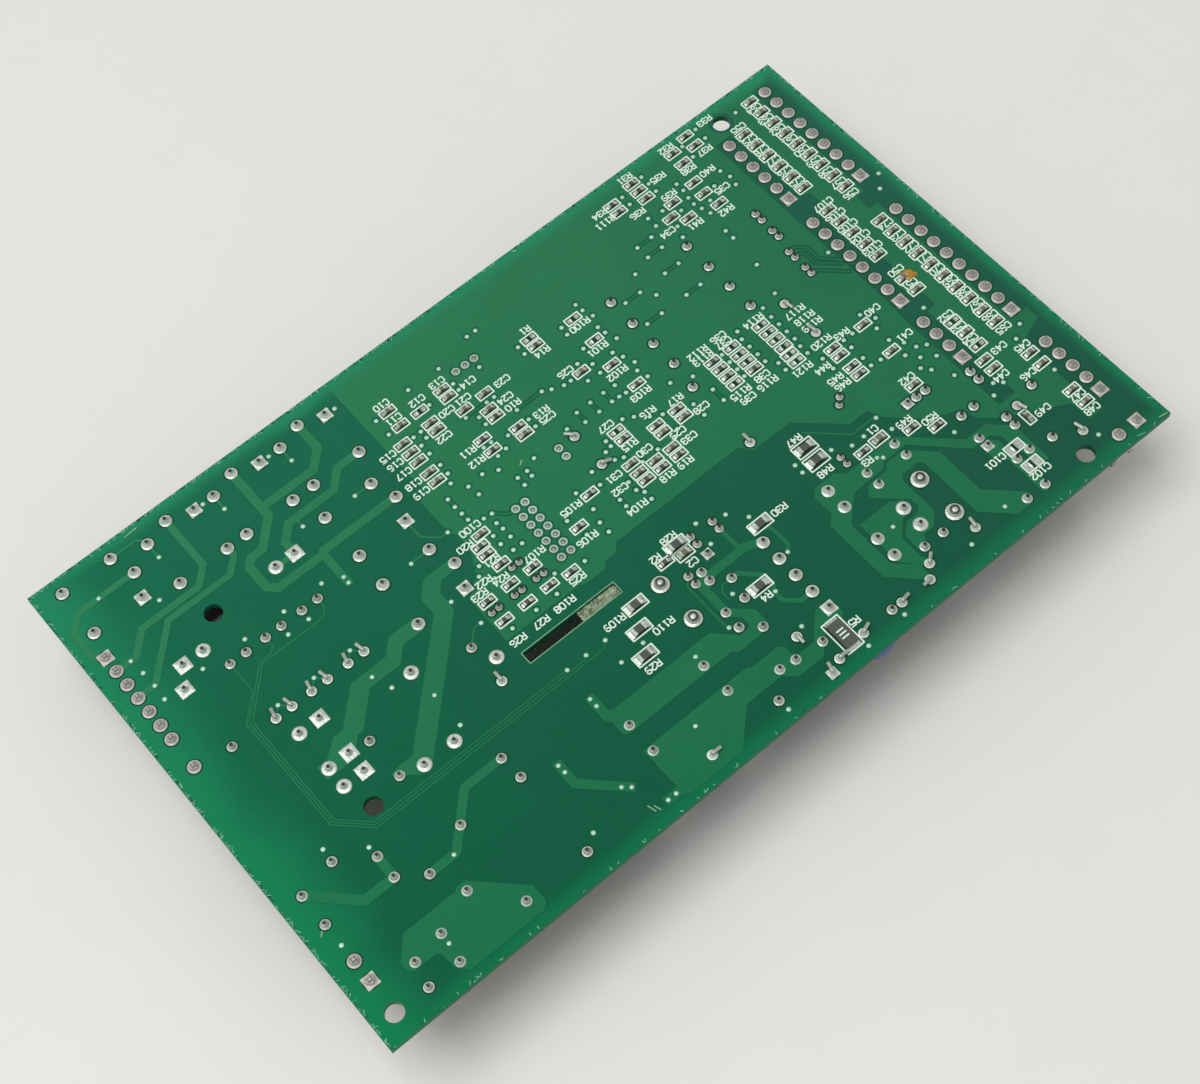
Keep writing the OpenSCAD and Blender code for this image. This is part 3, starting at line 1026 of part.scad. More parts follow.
// Finned profile, standing up; the mounting face is at x = 0 and the fins run towards -x
module heat_sink(pin_x) {
    difference() {
        translate([0, 0, sink_gap]) linear_extrude(sink_h - sink_gap) {
            translate([-sink_t, -sink_w / 2]) square([sink_t, sink_w]);
            for (i = [0:sink_fins - 1])
                translate([-sink_t - fin_l, -sink_w / 2 + i * (sink_w - fin_t) / (sink_fins - 1)])
                    square([fin_l + 0.5, fin_t]);
            for (s = [-1, 1]) translate([pin_x, s * SINK_PIN_Y]) circle(d = sink_pin_d + 1.4);
            for (s = [-1, 1]) translate([pin_x, s * SINK_PIN_Y - 0.6]) square([-pin_x - 1, 1.2]);
        }
        translate([-sink_t - fin_l - 1, 0, package_low + screw_up]) rotate([0, 90, 0]) {
            cylinder(d = screw_d + 0.4, h = sink_t + fin_l + 2);
            cylinder(d = nut_w + 1, h = fin_l + 1);
        }
    }
    for (s = [-1, 1]) translate([pin_x, s * SINK_PIN_Y, -board_t - lead_tail])
        cylinder(d = sink_pin_d, h = board_t + lead_tail + sink_gap);
}

// The same part faces the other way on the output side
module sink_place(side) {
    component_side() translate(at(side > 0 ? SWITCH_SINK : DIODE_SINK)) mirror([side > 0 ? 0 : 1, 0, 0])
        children();
}

module heat_sink_1() {
    color("gainsboro") sink_place(1) heat_sink(SWITCH_SINK_PIN);
}

module heat_sink_2() {
    color("gainsboro") sink_place(-1) heat_sink(DIODE_SINK_PIN);
}

// A tab package flat on the heat sink, its screw hole through the tab
module package() {
    difference() {
        translate([0, 0, package_low]) union() {
            translate([0, -package_w / 2, 0]) cube([tab_t, package_w, tab_top]);
            translate([0, package_w / 2, 0]) rotate([90, 0, 0]) linear_extrude(package_w) polygon([
                [0, 0], [package_t - 0.3, 0], [package_t, 0.4], [package_t, package_h - 0.5],
                [package_t - 0.4, package_h], [0, package_h]
            ]);
        }
        translate([-1, 0, package_low + screw_up]) rotate([0, 90, 0]) cylinder(d = screw_d + 0.4, h = 9);
    }
}

module power_switch() {
    color("#202024") sink_place(1) package();
}

module output_rectifier() {
    color("#202024") sink_place(-1) package();
}

// Pan head screw through the tab and the heat sink, with its nut behind
module heat_sink_screws() {
    color("silver") for (side = [-1, 1]) sink_place(side) translate([0, 0, package_low + screw_up])
        rotate([0, 90, 0]) {
            translate([0, 0, tab_t]) rotate_extrude()
                polygon([[0, 0], [2.8, 0], [2.8, 1.4], [2.3, 2], [1, 2.1], [0, 2.1]]);
            translate([0, 0, -sink_t - 3]) cylinder(d = screw_d, h = sink_t + 3 + tab_t);
            translate([0, 0, -sink_t - nut_h]) difference() {
                cylinder(d = nut_w, h = nut_h, $fn = 6);
                translate([0, 0, -1]) cylinder(d = screw_d, h = nut_h + 2);
            }
        }
}

// ---- Chips on the component side ----
MCU = [121.4, 78];
DRIVERS = [[90, 95.5, 16], [90, 81.5, 16], [121.5, 98.2, 8]];    // middle and number of legs
driver_w = 3.9;
leg_pitch = 1.27;
leg_out = 1.1;       // how far a leg reaches from the body
leg_t = 0.18;
leg_w = 0.38;
package_rise = 0.15;    // body above the board
fine_pitch = (mcu_w - 2) / mcu_legs;

module driver_size(d) {
    block(d[2] / 2 * leg_pitch - 0.2, driver_w, 1.5, 0.15);
}

module microcontroller() {
    color("#1b1b1d") component_side() translate(at(MCU)) difference() {
        translate([0, 0, package_rise]) block(mcu_w, mcu_w, 1.4, 0.5);
        translate([mcu_w / 2 - 1.6, 1.6 - mcu_w / 2, package_rise + 1.3]) cylinder(d = 1.2, h = 1);
    }
}

module driver_chips() {
    color("#1b1b1d") component_side() for (d = DRIVERS) translate(at(d)) translate([0, 0, package_rise])
        driver_size(d);
}

// Gull-wing leg that starts at the body's side, at the origin, and runs towards +x
module leg(w) {
    translate([0, w / 2, 0]) rotate([90, 0, 0]) linear_extrude(w) polygon([
        [0, 0.8], [0.3, 0.8], [0.5, leg_t], [leg_out, leg_t], [leg_out, 0], [0.38, 0],
        [0.18, 0.8 - leg_t], [0, 0.8 - leg_t]
    ]);
}

module chip_legs() {
    color("silver") component_side() {
        for (a = [0:90:270], i = [0:mcu_legs - 1]) translate(at(MCU)) rotate([0, 0, a])
            translate([mcu_w / 2, (i - (mcu_legs - 1) / 2) * fine_pitch, 0]) leg(fine_pitch * 0.45);
        for (d = DRIVERS, a = [90, 270], i = [0:d[2] / 2 - 1]) translate(at(d)) rotate([0, 0, a])
            translate([driver_w / 2, (i - (d[2] / 2 - 1) / 2) * leg_pitch, 0]) leg(leg_w);
    }
}

// ---- Optocoupler and regulator ----
opto_gap = 0.6;
regulator_gap = 2;

module small_packages() {
    mid = middle(OPTO_PINS[0], OPTO_PINS[3]);
    color("#18181a") component_side() {
        translate(at(mid)) translate([0, 0, opto_gap]) block(4.4, 4.8, 3.4, 0.2);
        translate(at(REGULATOR_LEADS[1])) translate([0, 0, regulator_gap]) difference() {
            cylinder(d = 4.8, h = 4.6);
            translate([-3, 1.3, -1]) cube([6, 3, 7]);
        }
    }
}

// ---- Wire leads ----
clinch_r = 0.5;
clinch_turn = 96;
clinch_l = 1.6;

// From the solder side down to a depth, with the tail either straight or bent over
module lead(p, depth) {
    turn = clinch(p);
    top = len(turn) == 0 ? lead_tail : clinch_h;
    translate(at(p)) translate([0, 0, -board_t - top]) {
        cylinder(d = lead_d, h = depth + board_t + top);
        if (len(turn) > 0) mirror([0, 0, 1]) rotate([0, 0, turn[0]]) {
            elbow(clinch_r, clinch_turn);
            translate([clinch_r, 0, 0]) rotate([0, clinch_turn, 0]) translate([-clinch_r, 0, 0])
                cylinder(d = lead_d, h = clinch_l);
        }
    }
}

// Both leads of a lying part, each bent into its end of the body
module lying_leads(p) {
    span = (norm(p[1] - p[0]) - p[3]) / 2;
    r = min(0.8, lie_depth(p) - 0.1);
    for (i = [0, 1]) {
        lead(p[i], lie_depth(p) - r);
        translate(at(p[i])) rotate([0, 0, angle(p[i], p[1 - i])]) {
            translate([0, 0, lie_depth(p) - r]) elbow(r);
            translate([r, 0, lie_depth(p)]) rotate([0, 90, 0]) cylinder(d = lead_d, h = span - r);
        }
    }
}

// A lead that steps back by dx on its way to a power part
module stepped_lead(p, dx) {
    r = 0.6;
    low = 1;
    lead(p, low);
    translate(at(p)) mirror([1, 0, 0]) {
        translate([0, 0, low]) elbow(r);
        translate([r, 0, low + r]) rotate([0, 90, 0]) cylinder(d = lead_d, h = dx - 2 * r);
        translate([dx, 0, low + 2 * r]) rotate([0, 180, 0]) elbow(r);
        translate([dx, 0, low + 2 * r]) cylinder(d = lead_d, h = package_low - low - 2 * r);
    }
}

module wire_leads() {
    color("lightgray") component_side() {
        for (p = concat(POWER_RESISTORS, SMALL_RESISTORS, DIODES, INDUCTORS, [concat(FUSE_LEADS, FUSE)]))
            lying_leads(p);
        for (c = ELECTROLYTICS, i = [0, 1]) lead(c[i], 0.5);
        for (c = BULK_LEADS, i = [0, 1]) lead(c[i], 0.5);
        for (c = BOX_CAPACITORS, i = [0, 1]) lead(c[i], 0.4);
        for (p = FILM_CAPACITOR_LEADS) lead(p, 0.4);
        for (c = concat(DISCS, [VARISTOR, THERMISTOR, Y_CAPACITOR]), i = [0, 1]) lead(c[i], DISC_GAP - 0.4);
        for (q = CHOKE_PINS) lead(CHOKE + q, ring_base_h);
        for (p = DIODE_LEADS) lead(p, package_low);
        for (p = SWITCH_LEADS) if (p[0] < 106) lead(p, package_low); else stepped_lead(p, 2.6);
        for (p = REGULATOR_LEADS) lead(p, regulator_gap);
        for (p = OPTO_PINS) lead(p, opto_gap + 1.5);
        for (p = POSTS) lead(p, 3);
        lying_leads(WIRE_LINK);
    }
}

circuit_board();
solder_side_copper();
lead_solder();
post_solder();
bare_hole_rings();
via_caps();
chip_resistors();
chip_capacitors();
chip_solder();
large_chip_resistors();
shunt_resistor();
relay_1();
relay_2();
relay_3();
relay_4();
relay_5();
relay_6();
relay_pins();
left_header();
right_header_top();
right_header_middle();
right_header_bottom();
inner_header_top();
inner_header_middle();
inner_header_bottom();
left_supply_header();
right_supply_header();
header_posts();
transformer_bobbin();
transformer_core();
transformer_winding();
transformer_pins();
choke_base();
choke_core();
choke_windings();
bulk_capacitor_1();
bulk_capacitor_2();
film_capacitor();
box_capacitors();
varistor();
thermistor();
disc_capacitors();
y_capacitor();
fuse_tube();
fuse_caps();
heat_sink_1();
heat_sink_2();
power_switch();
output_rectifier();
heat_sink_screws();
electrolytic_capacitors();
power_resistors();
small_resistors();
diodes();
axial_inductor();
microcontroller();
driver_chips();
chip_legs();
small_packages();
wire_leads();
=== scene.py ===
# %% [markdown]
# # A refrigerator's control board
#
# The board lies on a pale table with its solder side up. The imported CAD model gives every solid
# at its real place, so this script only adds what paint, print and wear do: green mask, white
# print, bright solder, and the finishes of the parts that hang under the board. Some light is
# painted into the mask too: the room's reflection, a glow along the sides and shade inside the chip frames.

# %% The frame
import math

import bpy
import numpy as np
from mathutils import Matrix, Vector


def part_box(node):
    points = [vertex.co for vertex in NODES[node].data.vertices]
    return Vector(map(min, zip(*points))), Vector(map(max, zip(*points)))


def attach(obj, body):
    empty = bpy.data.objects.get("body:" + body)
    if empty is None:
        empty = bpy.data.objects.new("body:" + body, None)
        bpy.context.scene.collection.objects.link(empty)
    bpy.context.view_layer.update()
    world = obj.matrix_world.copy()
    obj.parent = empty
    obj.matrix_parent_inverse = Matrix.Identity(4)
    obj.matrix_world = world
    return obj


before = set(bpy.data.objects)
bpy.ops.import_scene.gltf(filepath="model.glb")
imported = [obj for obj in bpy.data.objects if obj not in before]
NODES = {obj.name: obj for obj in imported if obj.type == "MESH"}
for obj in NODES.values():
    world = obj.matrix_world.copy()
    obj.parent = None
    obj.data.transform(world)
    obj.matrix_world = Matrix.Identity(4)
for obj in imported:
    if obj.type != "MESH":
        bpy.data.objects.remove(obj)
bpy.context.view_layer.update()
MM = 0.001
BOARD_LOW, BOARD_HIGH = (np.array(corner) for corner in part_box("circuit_board"))
FACE = BOARD_HIGH[2]                      # height of the solder side
BOARD_L, BOARD_W = np.round((BOARD_HIGH - BOARD_LOW)[:2] / MM)
print("board", (BOARD_HIGH - BOARD_LOW) / MM)

# %% [markdown]
# ## Where the camera stands
#
# The view was found from the board's four corners, whose true distances are known. Turning the
# camera by hand would get close, but a matrix made of its three directions is exact: right, up
# and backwards are the columns.

# %% Camera
EYE = Vector((-0.1224, -0.1956, 0.4170 + FACE))
LOOK = Vector((0.2478, 0.3999, -0.8824)).normalized()
UP = Vector((0.5920, 0.6585, 0.4647)).normalized()
FOCAL_PIXELS, IMAGE_WIDTH = 2308, 1200

lens = bpy.data.cameras.new("camera")
lens.sensor_width = 36
lens.lens = lens.sensor_width * FOCAL_PIXELS / IMAGE_WIDTH
camera = bpy.data.objects.new("camera", lens)
turn = Matrix((LOOK.cross(UP), UP, -LOOK)).transposed()
camera.matrix_world = Matrix.Translation(EYE) @ turn.to_4x4()
bpy.context.scene.collection.objects.link(camera)
bpy.context.scene.camera = camera
bpy.context.scene.view_settings.view_transform = "Standard"


# %% [markdown]
# ## Nodes in a few words
#
# Materials are node trees. Two small helpers keep them readable: one puts a node down, sets its
# plain values and links its inputs, and one turns the 0-255 values of a paint chip into the
# linear colour that shaders work in.

# %% Node helpers
def paint(red, green, blue, alpha=1.0):
    """Linear colour of a chip given in screen values: below 0.04 a straight line, then a power."""
    chip = np.array([red, green, blue]) / 255
    linear = np.where(chip < 0.04045, chip / 12.92, ((chip + 0.055) / 1.055) ** 2.4)
    return (*linear.tolist(), alpha)


def put(tree, kind, values=None, **links):
    """A new node: values sets its properties and plain inputs, links joins inputs to outputs."""
    made = tree.nodes.new("ShaderNode" + kind)
    for name, value in (values or {}).items():
        if name in made.inputs:
            made.inputs[name].default_value = value
        else:
            setattr(made, name, value)
    for name, source in links.items():
        tree.links.new(source, made.inputs[name])
    return made


def math_node(tree, operation, first, second=None, third=None):
    """One Math node; each operand is a number or an output."""
    made = tree.nodes.new("ShaderNodeMath")
    made.operation = operation
    for socket, value in zip(made.inputs, (first, second, third)):
        if isinstance(value, bpy.types.NodeSocket):
            tree.links.new(value, socket)
        elif value is not None:
            socket.default_value = value
    return made.outputs[0]


def mix(tree, amount, first, second, blend="MIX"):
    """Colour mixed from first to second; each input is a number, a colour or an output."""
    made = tree.nodes.new("ShaderNodeMix")
    made.data_type, made.blend_type = "RGBA", blend
    sockets = made.inputs[0], made.inputs[6], made.inputs[7]      # amount, then the two colours
    for socket, value in zip(sockets, (amount, first, second)):
        if isinstance(value, bpy.types.NodeSocket):
            tree.links.new(value, socket)
        else:
            socket.default_value = value
    return made.outputs[2]


def group(name, inputs, outputs):
    """An empty node group with named sockets, and its two end nodes."""
    tree = bpy.data.node_groups.new(name, "ShaderNodeTree")
    for kind, sockets in (("INPUT", inputs), ("OUTPUT", outputs)):
        for socket, sort, value in sockets:
            made = tree.interface.new_socket(socket, in_out=kind, socket_type="NodeSocket" + sort)
            if value is not None:
                made.default_value = value
    return tree, tree.nodes.new("NodeGroupInput").outputs, tree.nodes.new("NodeGroupOutput").inputs


# %% [markdown]
# ## Effects that many finishes share
#
# Moulded, painted and metal surfaces are never one even colour. The first group drifts between
# two colours in soft clouds with fine specks on top, the second gives the height of a grain for
# a Bump node. Each material feeds them its own Object coordinates, so nothing slides.

# %% Shared groups
CLOUD_SHARE = 0.6                         # the rest of the mixture is specks
ALL_LIGHT, ALL_DARK = 0.35, 0.65          # noise values where one colour is reached

tree, given, out = group(
    "uneven_colour",
    [("Place", "Vector", None), ("Light", "Color", None), ("Dark", "Color", None),
     ("Clouds", "Float", 60.0), ("Specks", "Float", 900.0), ("Amount", "Float", 0.5)],
    [("Color", "Color", None)])
clouds = put(tree, "TexNoise", {"Detail": 3.0}, Vector=given["Place"], Scale=given["Clouds"])
specks = put(tree, "TexNoise", {"Detail": 5.0, "Roughness": 0.7},
             Vector=given["Place"], Scale=given["Specks"])
soft_part = math_node(tree, "MULTIPLY", clouds.outputs[0], CLOUD_SHARE)
both = math_node(tree, "MULTIPLY_ADD", specks.outputs[0], 1 - CLOUD_SHARE, soft_part)
spread = put(tree, "MapRange", {"From Min": ALL_LIGHT, "From Max": ALL_DARK}, Value=both)
darkness = math_node(tree, "MULTIPLY", spread.outputs[0], given["Amount"])
tree.links.new(mix(tree, darkness, given["Light"], given["Dark"]), out["Color"])

tree, given, out = group(
    "grain", [("Place", "Vector", None), ("Scale", "Float", 800.0), ("Soft", "Float", 0.5)],
    [("Height", "Float", None)])
fine = put(tree, "TexNoise", {"Detail": 4.0},
           Vector=given["Place"], Scale=given["Scale"], Roughness=given["Soft"])
tree.links.new(fine.outputs[0], out["Height"])

# %% A finish from the groups
GRAIN_DEPTH = 0.0002                      # metres, so a grain of full strength is 0.2 mm deep


def finish(name, light, dark, rough, metal=0.0, clouds=60.0, specks=900.0, amount=0.6,
           grain=900.0, bump=0.05, **shader):
    """A material with uneven colour and a fine grain; shader sets further sockets by name."""
    made = bpy.data.materials.new(name)
    made.use_nodes = True
    tree = made.node_tree
    surface = tree.nodes["Principled BSDF"]
    place = put(tree, "TexCoord").outputs["Object"]
    colour = put(tree, "Group", {"node_tree": bpy.data.node_groups["uneven_colour"]}, Place=place)
    settings = {"Light": light, "Dark": dark, "Clouds": clouds, "Specks": specks, "Amount": amount}
    for socket, value in settings.items():
        colour.inputs[socket].default_value = value
    tree.links.new(colour.outputs["Color"], surface.inputs["Base Color"])
    height = put(tree, "Group", {"node_tree": bpy.data.node_groups["grain"]}, Place=place)
    height.inputs["Scale"].default_value = grain
    relief = put(tree, "Bump", {"Strength": bump, "Distance": GRAIN_DEPTH},
                 Height=height.outputs["Height"])
    tree.links.new(relief.outputs[0], surface.inputs["Normal"])
    surface.inputs["Roughness"].default_value = rough
    surface.inputs["Metallic"].default_value = metal
    for socket, value in shader.items():
        surface.inputs[socket.replace("_", " ")].default_value = value
    return made


def dress(material, *names):
    """Gives CAD nodes their material."""
    for name in names:
        NODES[name].data.materials.clear()
        NODES[name].data.materials.append(material)


# %% [markdown]
# ## Green board
#
# The mask mirrors the room, and that reflection is painted into its colour: the green turns
# greyer from the near corner to the far one. A group blends four corner colours, first along the
# near and the far side and then between them. A painted image would do it too, but four colours
# are easier to change. Glass laminate is also translucent, and light that enters at the cut edges
# leaks out of the face again; this glow is painted too, as a brighter band along each side, by its own width.

# %% Colour over the board
HALF_L, HALF_W = (float(half) for half in (BOARD_HIGH[:2] - BOARD_LOW[:2]) / 2)
CORNERS = ("Near Left", "Near Right", "Far Left", "Far Right")
tree, given, out = group(
    "across_board", [("Place", "Vector", None)] + [(corner, "Color", None) for corner in CORNERS],
    [("Color", "Color", None)])
axes = put(tree, "SeparateXYZ", Vector=given["Place"]).outputs
right, far = (put(tree, "MapRange", {"From Min": -half, "From Max": half}, Value=axis).outputs[0]
              for half, axis in ((HALF_L, axes[0]), (HALF_W, axes[1])))
near_row = mix(tree, right, given["Near Left"], given["Near Right"])
far_row = mix(tree, right, given["Far Left"], given["Far Right"])
tree.links.new(mix(tree, far, near_row, far_row), out["Color"])

# %% Board and copper materials
MASK_GLOSS = 0.04                         # how much the mask mirrors, against 0.5 for plain plastic
MASK_LIGHT, MASK_DARK = (1.0, 1.0, 1.0, 1.0), (0.85, 0.87, 0.87, 1.0)
GLOW_RAGGED, GLOW_GONE, GLOW_FULL = 0.6, 1.3, 0.3         # as shares of a glow's width
# Corner colours of the mask with the room's reflection painted in; the glow ones are painted light from the
# edges
BARE_CORNERS = ((0, 92, 62), (32, 88, 68), (27, 110, 80), (38, 98, 78))
COPPER_CORNERS = ((22, 114, 74), (40, 112, 77), (52, 131, 89), (44, 115, 79))
GLOW_CORNERS = ((2, 128, 78), (24, 126, 84), (36, 134, 94), (44, 138, 100))
# Sides with a painted glow: axis, which end of it, width in millimetres, amount
GLOWS = (("X", -1, 17.0, 0.9), ("X", 1, 3.5, 0.8), ("Y", -1, 5.0, 0.55), ("Y", 1, 4.5, 1.0))


def mask_finish(name, corners, glows):
    """A mask whose uneven tone is multiplied by the corner blend with its painted reflection, and turns to a
    painted glow near some sides.

    The painted glow falls from its full amount near the edge to nothing by a smooth step of the distance."""
    made = finish(name, MASK_LIGHT, MASK_DARK, 0.3, clouds=45, specks=300, bump=0.03,
                  Specular_IOR_Level=MASK_GLOSS)
    tree = made.node_tree
    colour = tree.nodes["Principled BSDF"].inputs["Base Color"]
    place = next(node for node in tree.nodes if node.type == "TEX_COORD").outputs["Object"]
    blends = []
    for chips in (corners, GLOW_CORNERS):
        blend = put(tree, "Group", {"node_tree": bpy.data.node_groups["across_board"]}, Place=place)
        for corner, chip in zip(CORNERS, chips):
            blend.inputs[corner].default_value = paint(*chip)
        blends.append(blend.outputs[0])
    base = mix(tree, 1.0, colour.links[0].from_socket, blends[0], "MULTIPLY")
    ragged = put(tree, "TexNoise", {"Scale": 60.0, "Detail": 3.0}, Vector=place).outputs[0]
    axes = put(tree, "SeparateXYZ", Vector=place).outputs
    glow = 0.0
    # Each side's glow is painted light: the colour turns brighter towards that side
    for axis, side, width, amount in glows:
        half = HALF_L if axis == "X" else HALF_W
        inwards = math_node(tree, "MULTIPLY_ADD", axes[axis], -side, half)
        wavy = math_node(tree, "MULTIPLY_ADD", ragged, GLOW_RAGGED * width * MM, inwards)
        limits = {"From Min": GLOW_GONE * width * MM, "From Max": GLOW_FULL * width * MM, "To Max": amount}
        band = put(tree, "MapRange", {"interpolation_type": "SMOOTHSTEP", **limits}, Value=wavy)
        glow = math_node(tree, "MAXIMUM", band.outputs[0], glow)
    tree.links.new(mix(tree, glow, base, blends[1]), colour)
    return made


# Both board materials carry the painted reflection and the painted glow
dress(mask_finish("laminate_under_mask", BARE_CORNERS, GLOWS), "circuit_board")
dress(mask_finish("copper_under_mask", COPPER_CORNERS, GLOWS[3:]), "solder_side_copper")

# %% [markdown]
# ## Metal and plastic
#
# Solder cools with a slightly wrinkled skin, so its finishes have a coarse, strong grain. A lead
# that was cut after soldering shows its dark core. Its cut faces are the ones that look straight
# up, so the normal's height picks them out and no second material is needed.

# %% Solder and leads
STRAIGHT_UP = 0.985, 0.998                # height of a unit normal where the core starts and is full

solder = finish("solder", paint(226, 232, 224), paint(158, 172, 160), 0.36, metal=0.45,
                clouds=500, specks=2500, amount=0.8, grain=1800, bump=0.5)
dress(solder, "lead_solder")
chip_solder = finish("chip_solder", paint(216, 226, 214), paint(140, 152, 142), 0.34, metal=0.6,
                     clouds=700, specks=2500, amount=0.8, grain=2200, bump=0.4)
dress(chip_solder, "chip_solder")
flat_solder = finish("flat_solder", paint(206, 200, 194), paint(158, 156, 150), 0.5, metal=0.3,
                     clouds=500, specks=2500, amount=0.8, bump=0.3)
dress(flat_solder, "post_solder")
via_solder = finish("via_solder", paint(190, 226, 206), paint(150, 196, 172), 0.45, metal=0.3,
                    specks=2500)
dress(via_solder, "via_caps")
ring_solder = finish("bare_ring_solder", paint(196, 214, 198), paint(120, 138, 122), 0.42, metal=0.5,
                     specks=2500)
dress(ring_solder, "bare_hole_rings")

wire = finish("cut_wire", paint(196, 204, 194), paint(132, 142, 132), 0.4, metal=0.5,
              specks=1500, bump=0.2)
tree = wire.node_tree
colour = tree.nodes["Principled BSDF"].inputs["Base Color"]
normal = put(tree, "NewGeometry").outputs["True Normal"]
upward = put(tree, "SeparateXYZ", Vector=normal).outputs[2]
limits = {"From Min": STRAIGHT_UP[0], "From Max": STRAIGHT_UP[1]}
cut_end = put(tree, "MapRange", limits, Value=upward).outputs[0]
tree.links.new(mix(tree, cut_end, colour.links[0].from_socket, paint(54, 50, 44)), colour)
dress(wire, "wire_leads", "relay_pins", "transformer_pins")
pin = finish("tinned_pin", paint(168, 164, 158), paint(120, 118, 112), 0.4, metal=0.6,
             specks=1500, bump=0.2)
dress(pin, "header_posts", "chip_legs")

# %% [markdown]
# Plastics, coats and ferrite differ mostly in colour and in how sharp their gloss is, so one table
# holds them all. The bright metal parts differ in how rough they are, and the fuse is clear glass.

# %% Plastics, coats and bright metal
# Name of the finish: the pieces it covers, lighter colour, darker colour, roughness
PLAIN = {
    "chip_resistor_body": (["chip_resistors", "large_chip_resistors", "shunt_resistor"],
                           (78, 84, 78), (44, 50, 46), 0.4),
    "chip_capacitor_body": (["chip_capacitors"], (112, 112, 88), (84, 86, 66), 0.45),
    "relay_case": ([f"relay_{i}" for i in range(1, 7)], (30, 30, 32), (20, 20, 22), 0.38),
    "header_nylon": ([name for name in NODES if name.endswith("header") or "_header_" in name],
                     (236, 232, 216), (222, 216, 196), 0.42),
    "bobbin_plastic": (["transformer_bobbin", "choke_base"], (28, 28, 30), (18, 18, 20), 0.4),
    "ferrite": (["transformer_core"], (70, 70, 72), (44, 44, 46), 0.5),
    "winding_tape": (["transformer_winding"], (226, 176, 60), (206, 150, 40), 0.35),
    "ring_coating": (["choke_core"], (50, 84, 60), (36, 66, 46), 0.4),
    "winding_wire": (["choke_windings"], (184, 96, 46), (140, 66, 30), 0.25),
    "bulk_sleeve": (["bulk_capacitor_1", "bulk_capacitor_2"], (34, 44, 78), (24, 32, 60), 0.28),
    "small_sleeve": (["electrolytic_capacitors"], (34, 34, 38), (22, 22, 26), 0.28),
    "film_case": (["film_capacitor"], (222, 176, 50), (200, 150, 34), 0.35),
    "box_case": (["box_capacitors"], (170, 46, 38), (140, 34, 30), 0.35),
    "varistor_coat": (["varistor"], (40, 104, 170), (28, 84, 146), 0.35),
    "thermistor_coat": (["thermistor"], (52, 52, 52), (34, 34, 34), 0.6),
    "disc_coat": (["disc_capacitors"], (196, 124, 56), (166, 98, 40), 0.5),
    "blue_coat": (["y_capacitor"], (60, 96, 178), (44, 76, 150), 0.35),
    "resistor_coat": (["power_resistors"], (134, 170, 164), (112, 148, 142), 0.4),
    "small_resistor_coat": (["small_resistors"], (206, 178, 128), (180, 150, 104), 0.4),
    "inductor_coat": (["axial_inductor"], (70, 124, 78), (52, 100, 60), 0.4),
    "black_epoxy": (["diodes", "microcontroller", "driver_chips", "small_packages", "power_switch",
                     "output_rectifier"], (34, 34, 36), (22, 22, 24), 0.5),
}
for name, (names, light, dark, rough) in PLAIN.items():
    dress(finish(name, paint(*light), paint(*dark), rough), *names)
print(len(PLAIN), "plain finishes")

aluminium = finish("extruded_aluminium", paint(206, 206, 208), paint(170, 170, 174), 0.38, metal=0.95)
dress(aluminium, "heat_sink_1", "heat_sink_2")
steel = finish("plated_steel", paint(200, 200, 196), paint(160, 160, 156), 0.28, metal=0.95)
dress(steel, "heat_sink_screws", "fuse_caps")
glass = finish("fuse_glass", paint(225, 235, 235), paint(205, 220, 222), 0.05, Transmission_Weight=0.9)
dress(glass, "fuse_tube")

# %% [markdown]
# ## White print
#
# The board's print is a thin ink: a frame round every chip and a label beside it. Frames could be
# typed in one by one, but they are worked out from the chips themselves, so each one fits. Every
# separate solid of a CAD node is found by joining equal corners and letting the lowest label
# spread over the triangles until it settles.


# %% Chips found in the frame
SAME_CORNER = 1e-6                        # metres


def solid_boxes(name):
    """Lowest and highest corner of every separate solid of a CAD node, as an (n, 2, 3) array."""
    mesh = NODES[name].data
    corners = np.empty(3 * len(mesh.vertices))
    mesh.vertices.foreach_get("co", corners)
    triangles = np.empty(len(mesh.loops), dtype=np.int64)
    mesh.loops.foreach_get("vertex_index", triangles)
    corners = corners.reshape(-1, 3)
    whole = np.round(corners / SAME_CORNER).astype(np.int64)
    joined = np.unique(whole, axis=0, return_inverse=True)[1].reshape(-1)
    triangles = joined[triangles].reshape(-1, 3)
    label, before = np.arange(joined.max() + 1), None
    while before is None or (label != before).any():
        before = label.copy()
        for column in triangles.T:
            np.minimum.at(label, column, before[triangles].min(1))
        label = label[label]
    return np.array([[corners[label[joined] == one].min(0), corners[label[joined] == one].max(0)]
                     for one in np.unique(label)])


def centres(boxes):
    """Middles of boxes, as millimetres on the board."""
    return (boxes.mean(1)[:, :2] - BOARD_LOW[:2]) / MM


CHIP_NODES = ("chip_resistors", "chip_capacitors", "large_chip_resistors")
chip_boxes = np.vstack([solid_boxes(name) for name in CHIP_NODES])
chips = centres(chip_boxes)
chip_sizes = (chip_boxes[:, 1] - chip_boxes[:, 0])[:, :2] / MM
shunt = centres(solid_boxes("shunt_resistor"))
pads = centres(solid_boxes("chip_solder"))
print(len(chips), "chips,", len(pads), "pads")

# %% [markdown]
# A place for a chip that was left empty has two pads and no body. A pad is free where no chip has
# it within reach along its length. Two free pads side by side, at the distance of a small chip's
# pads, make an empty place.

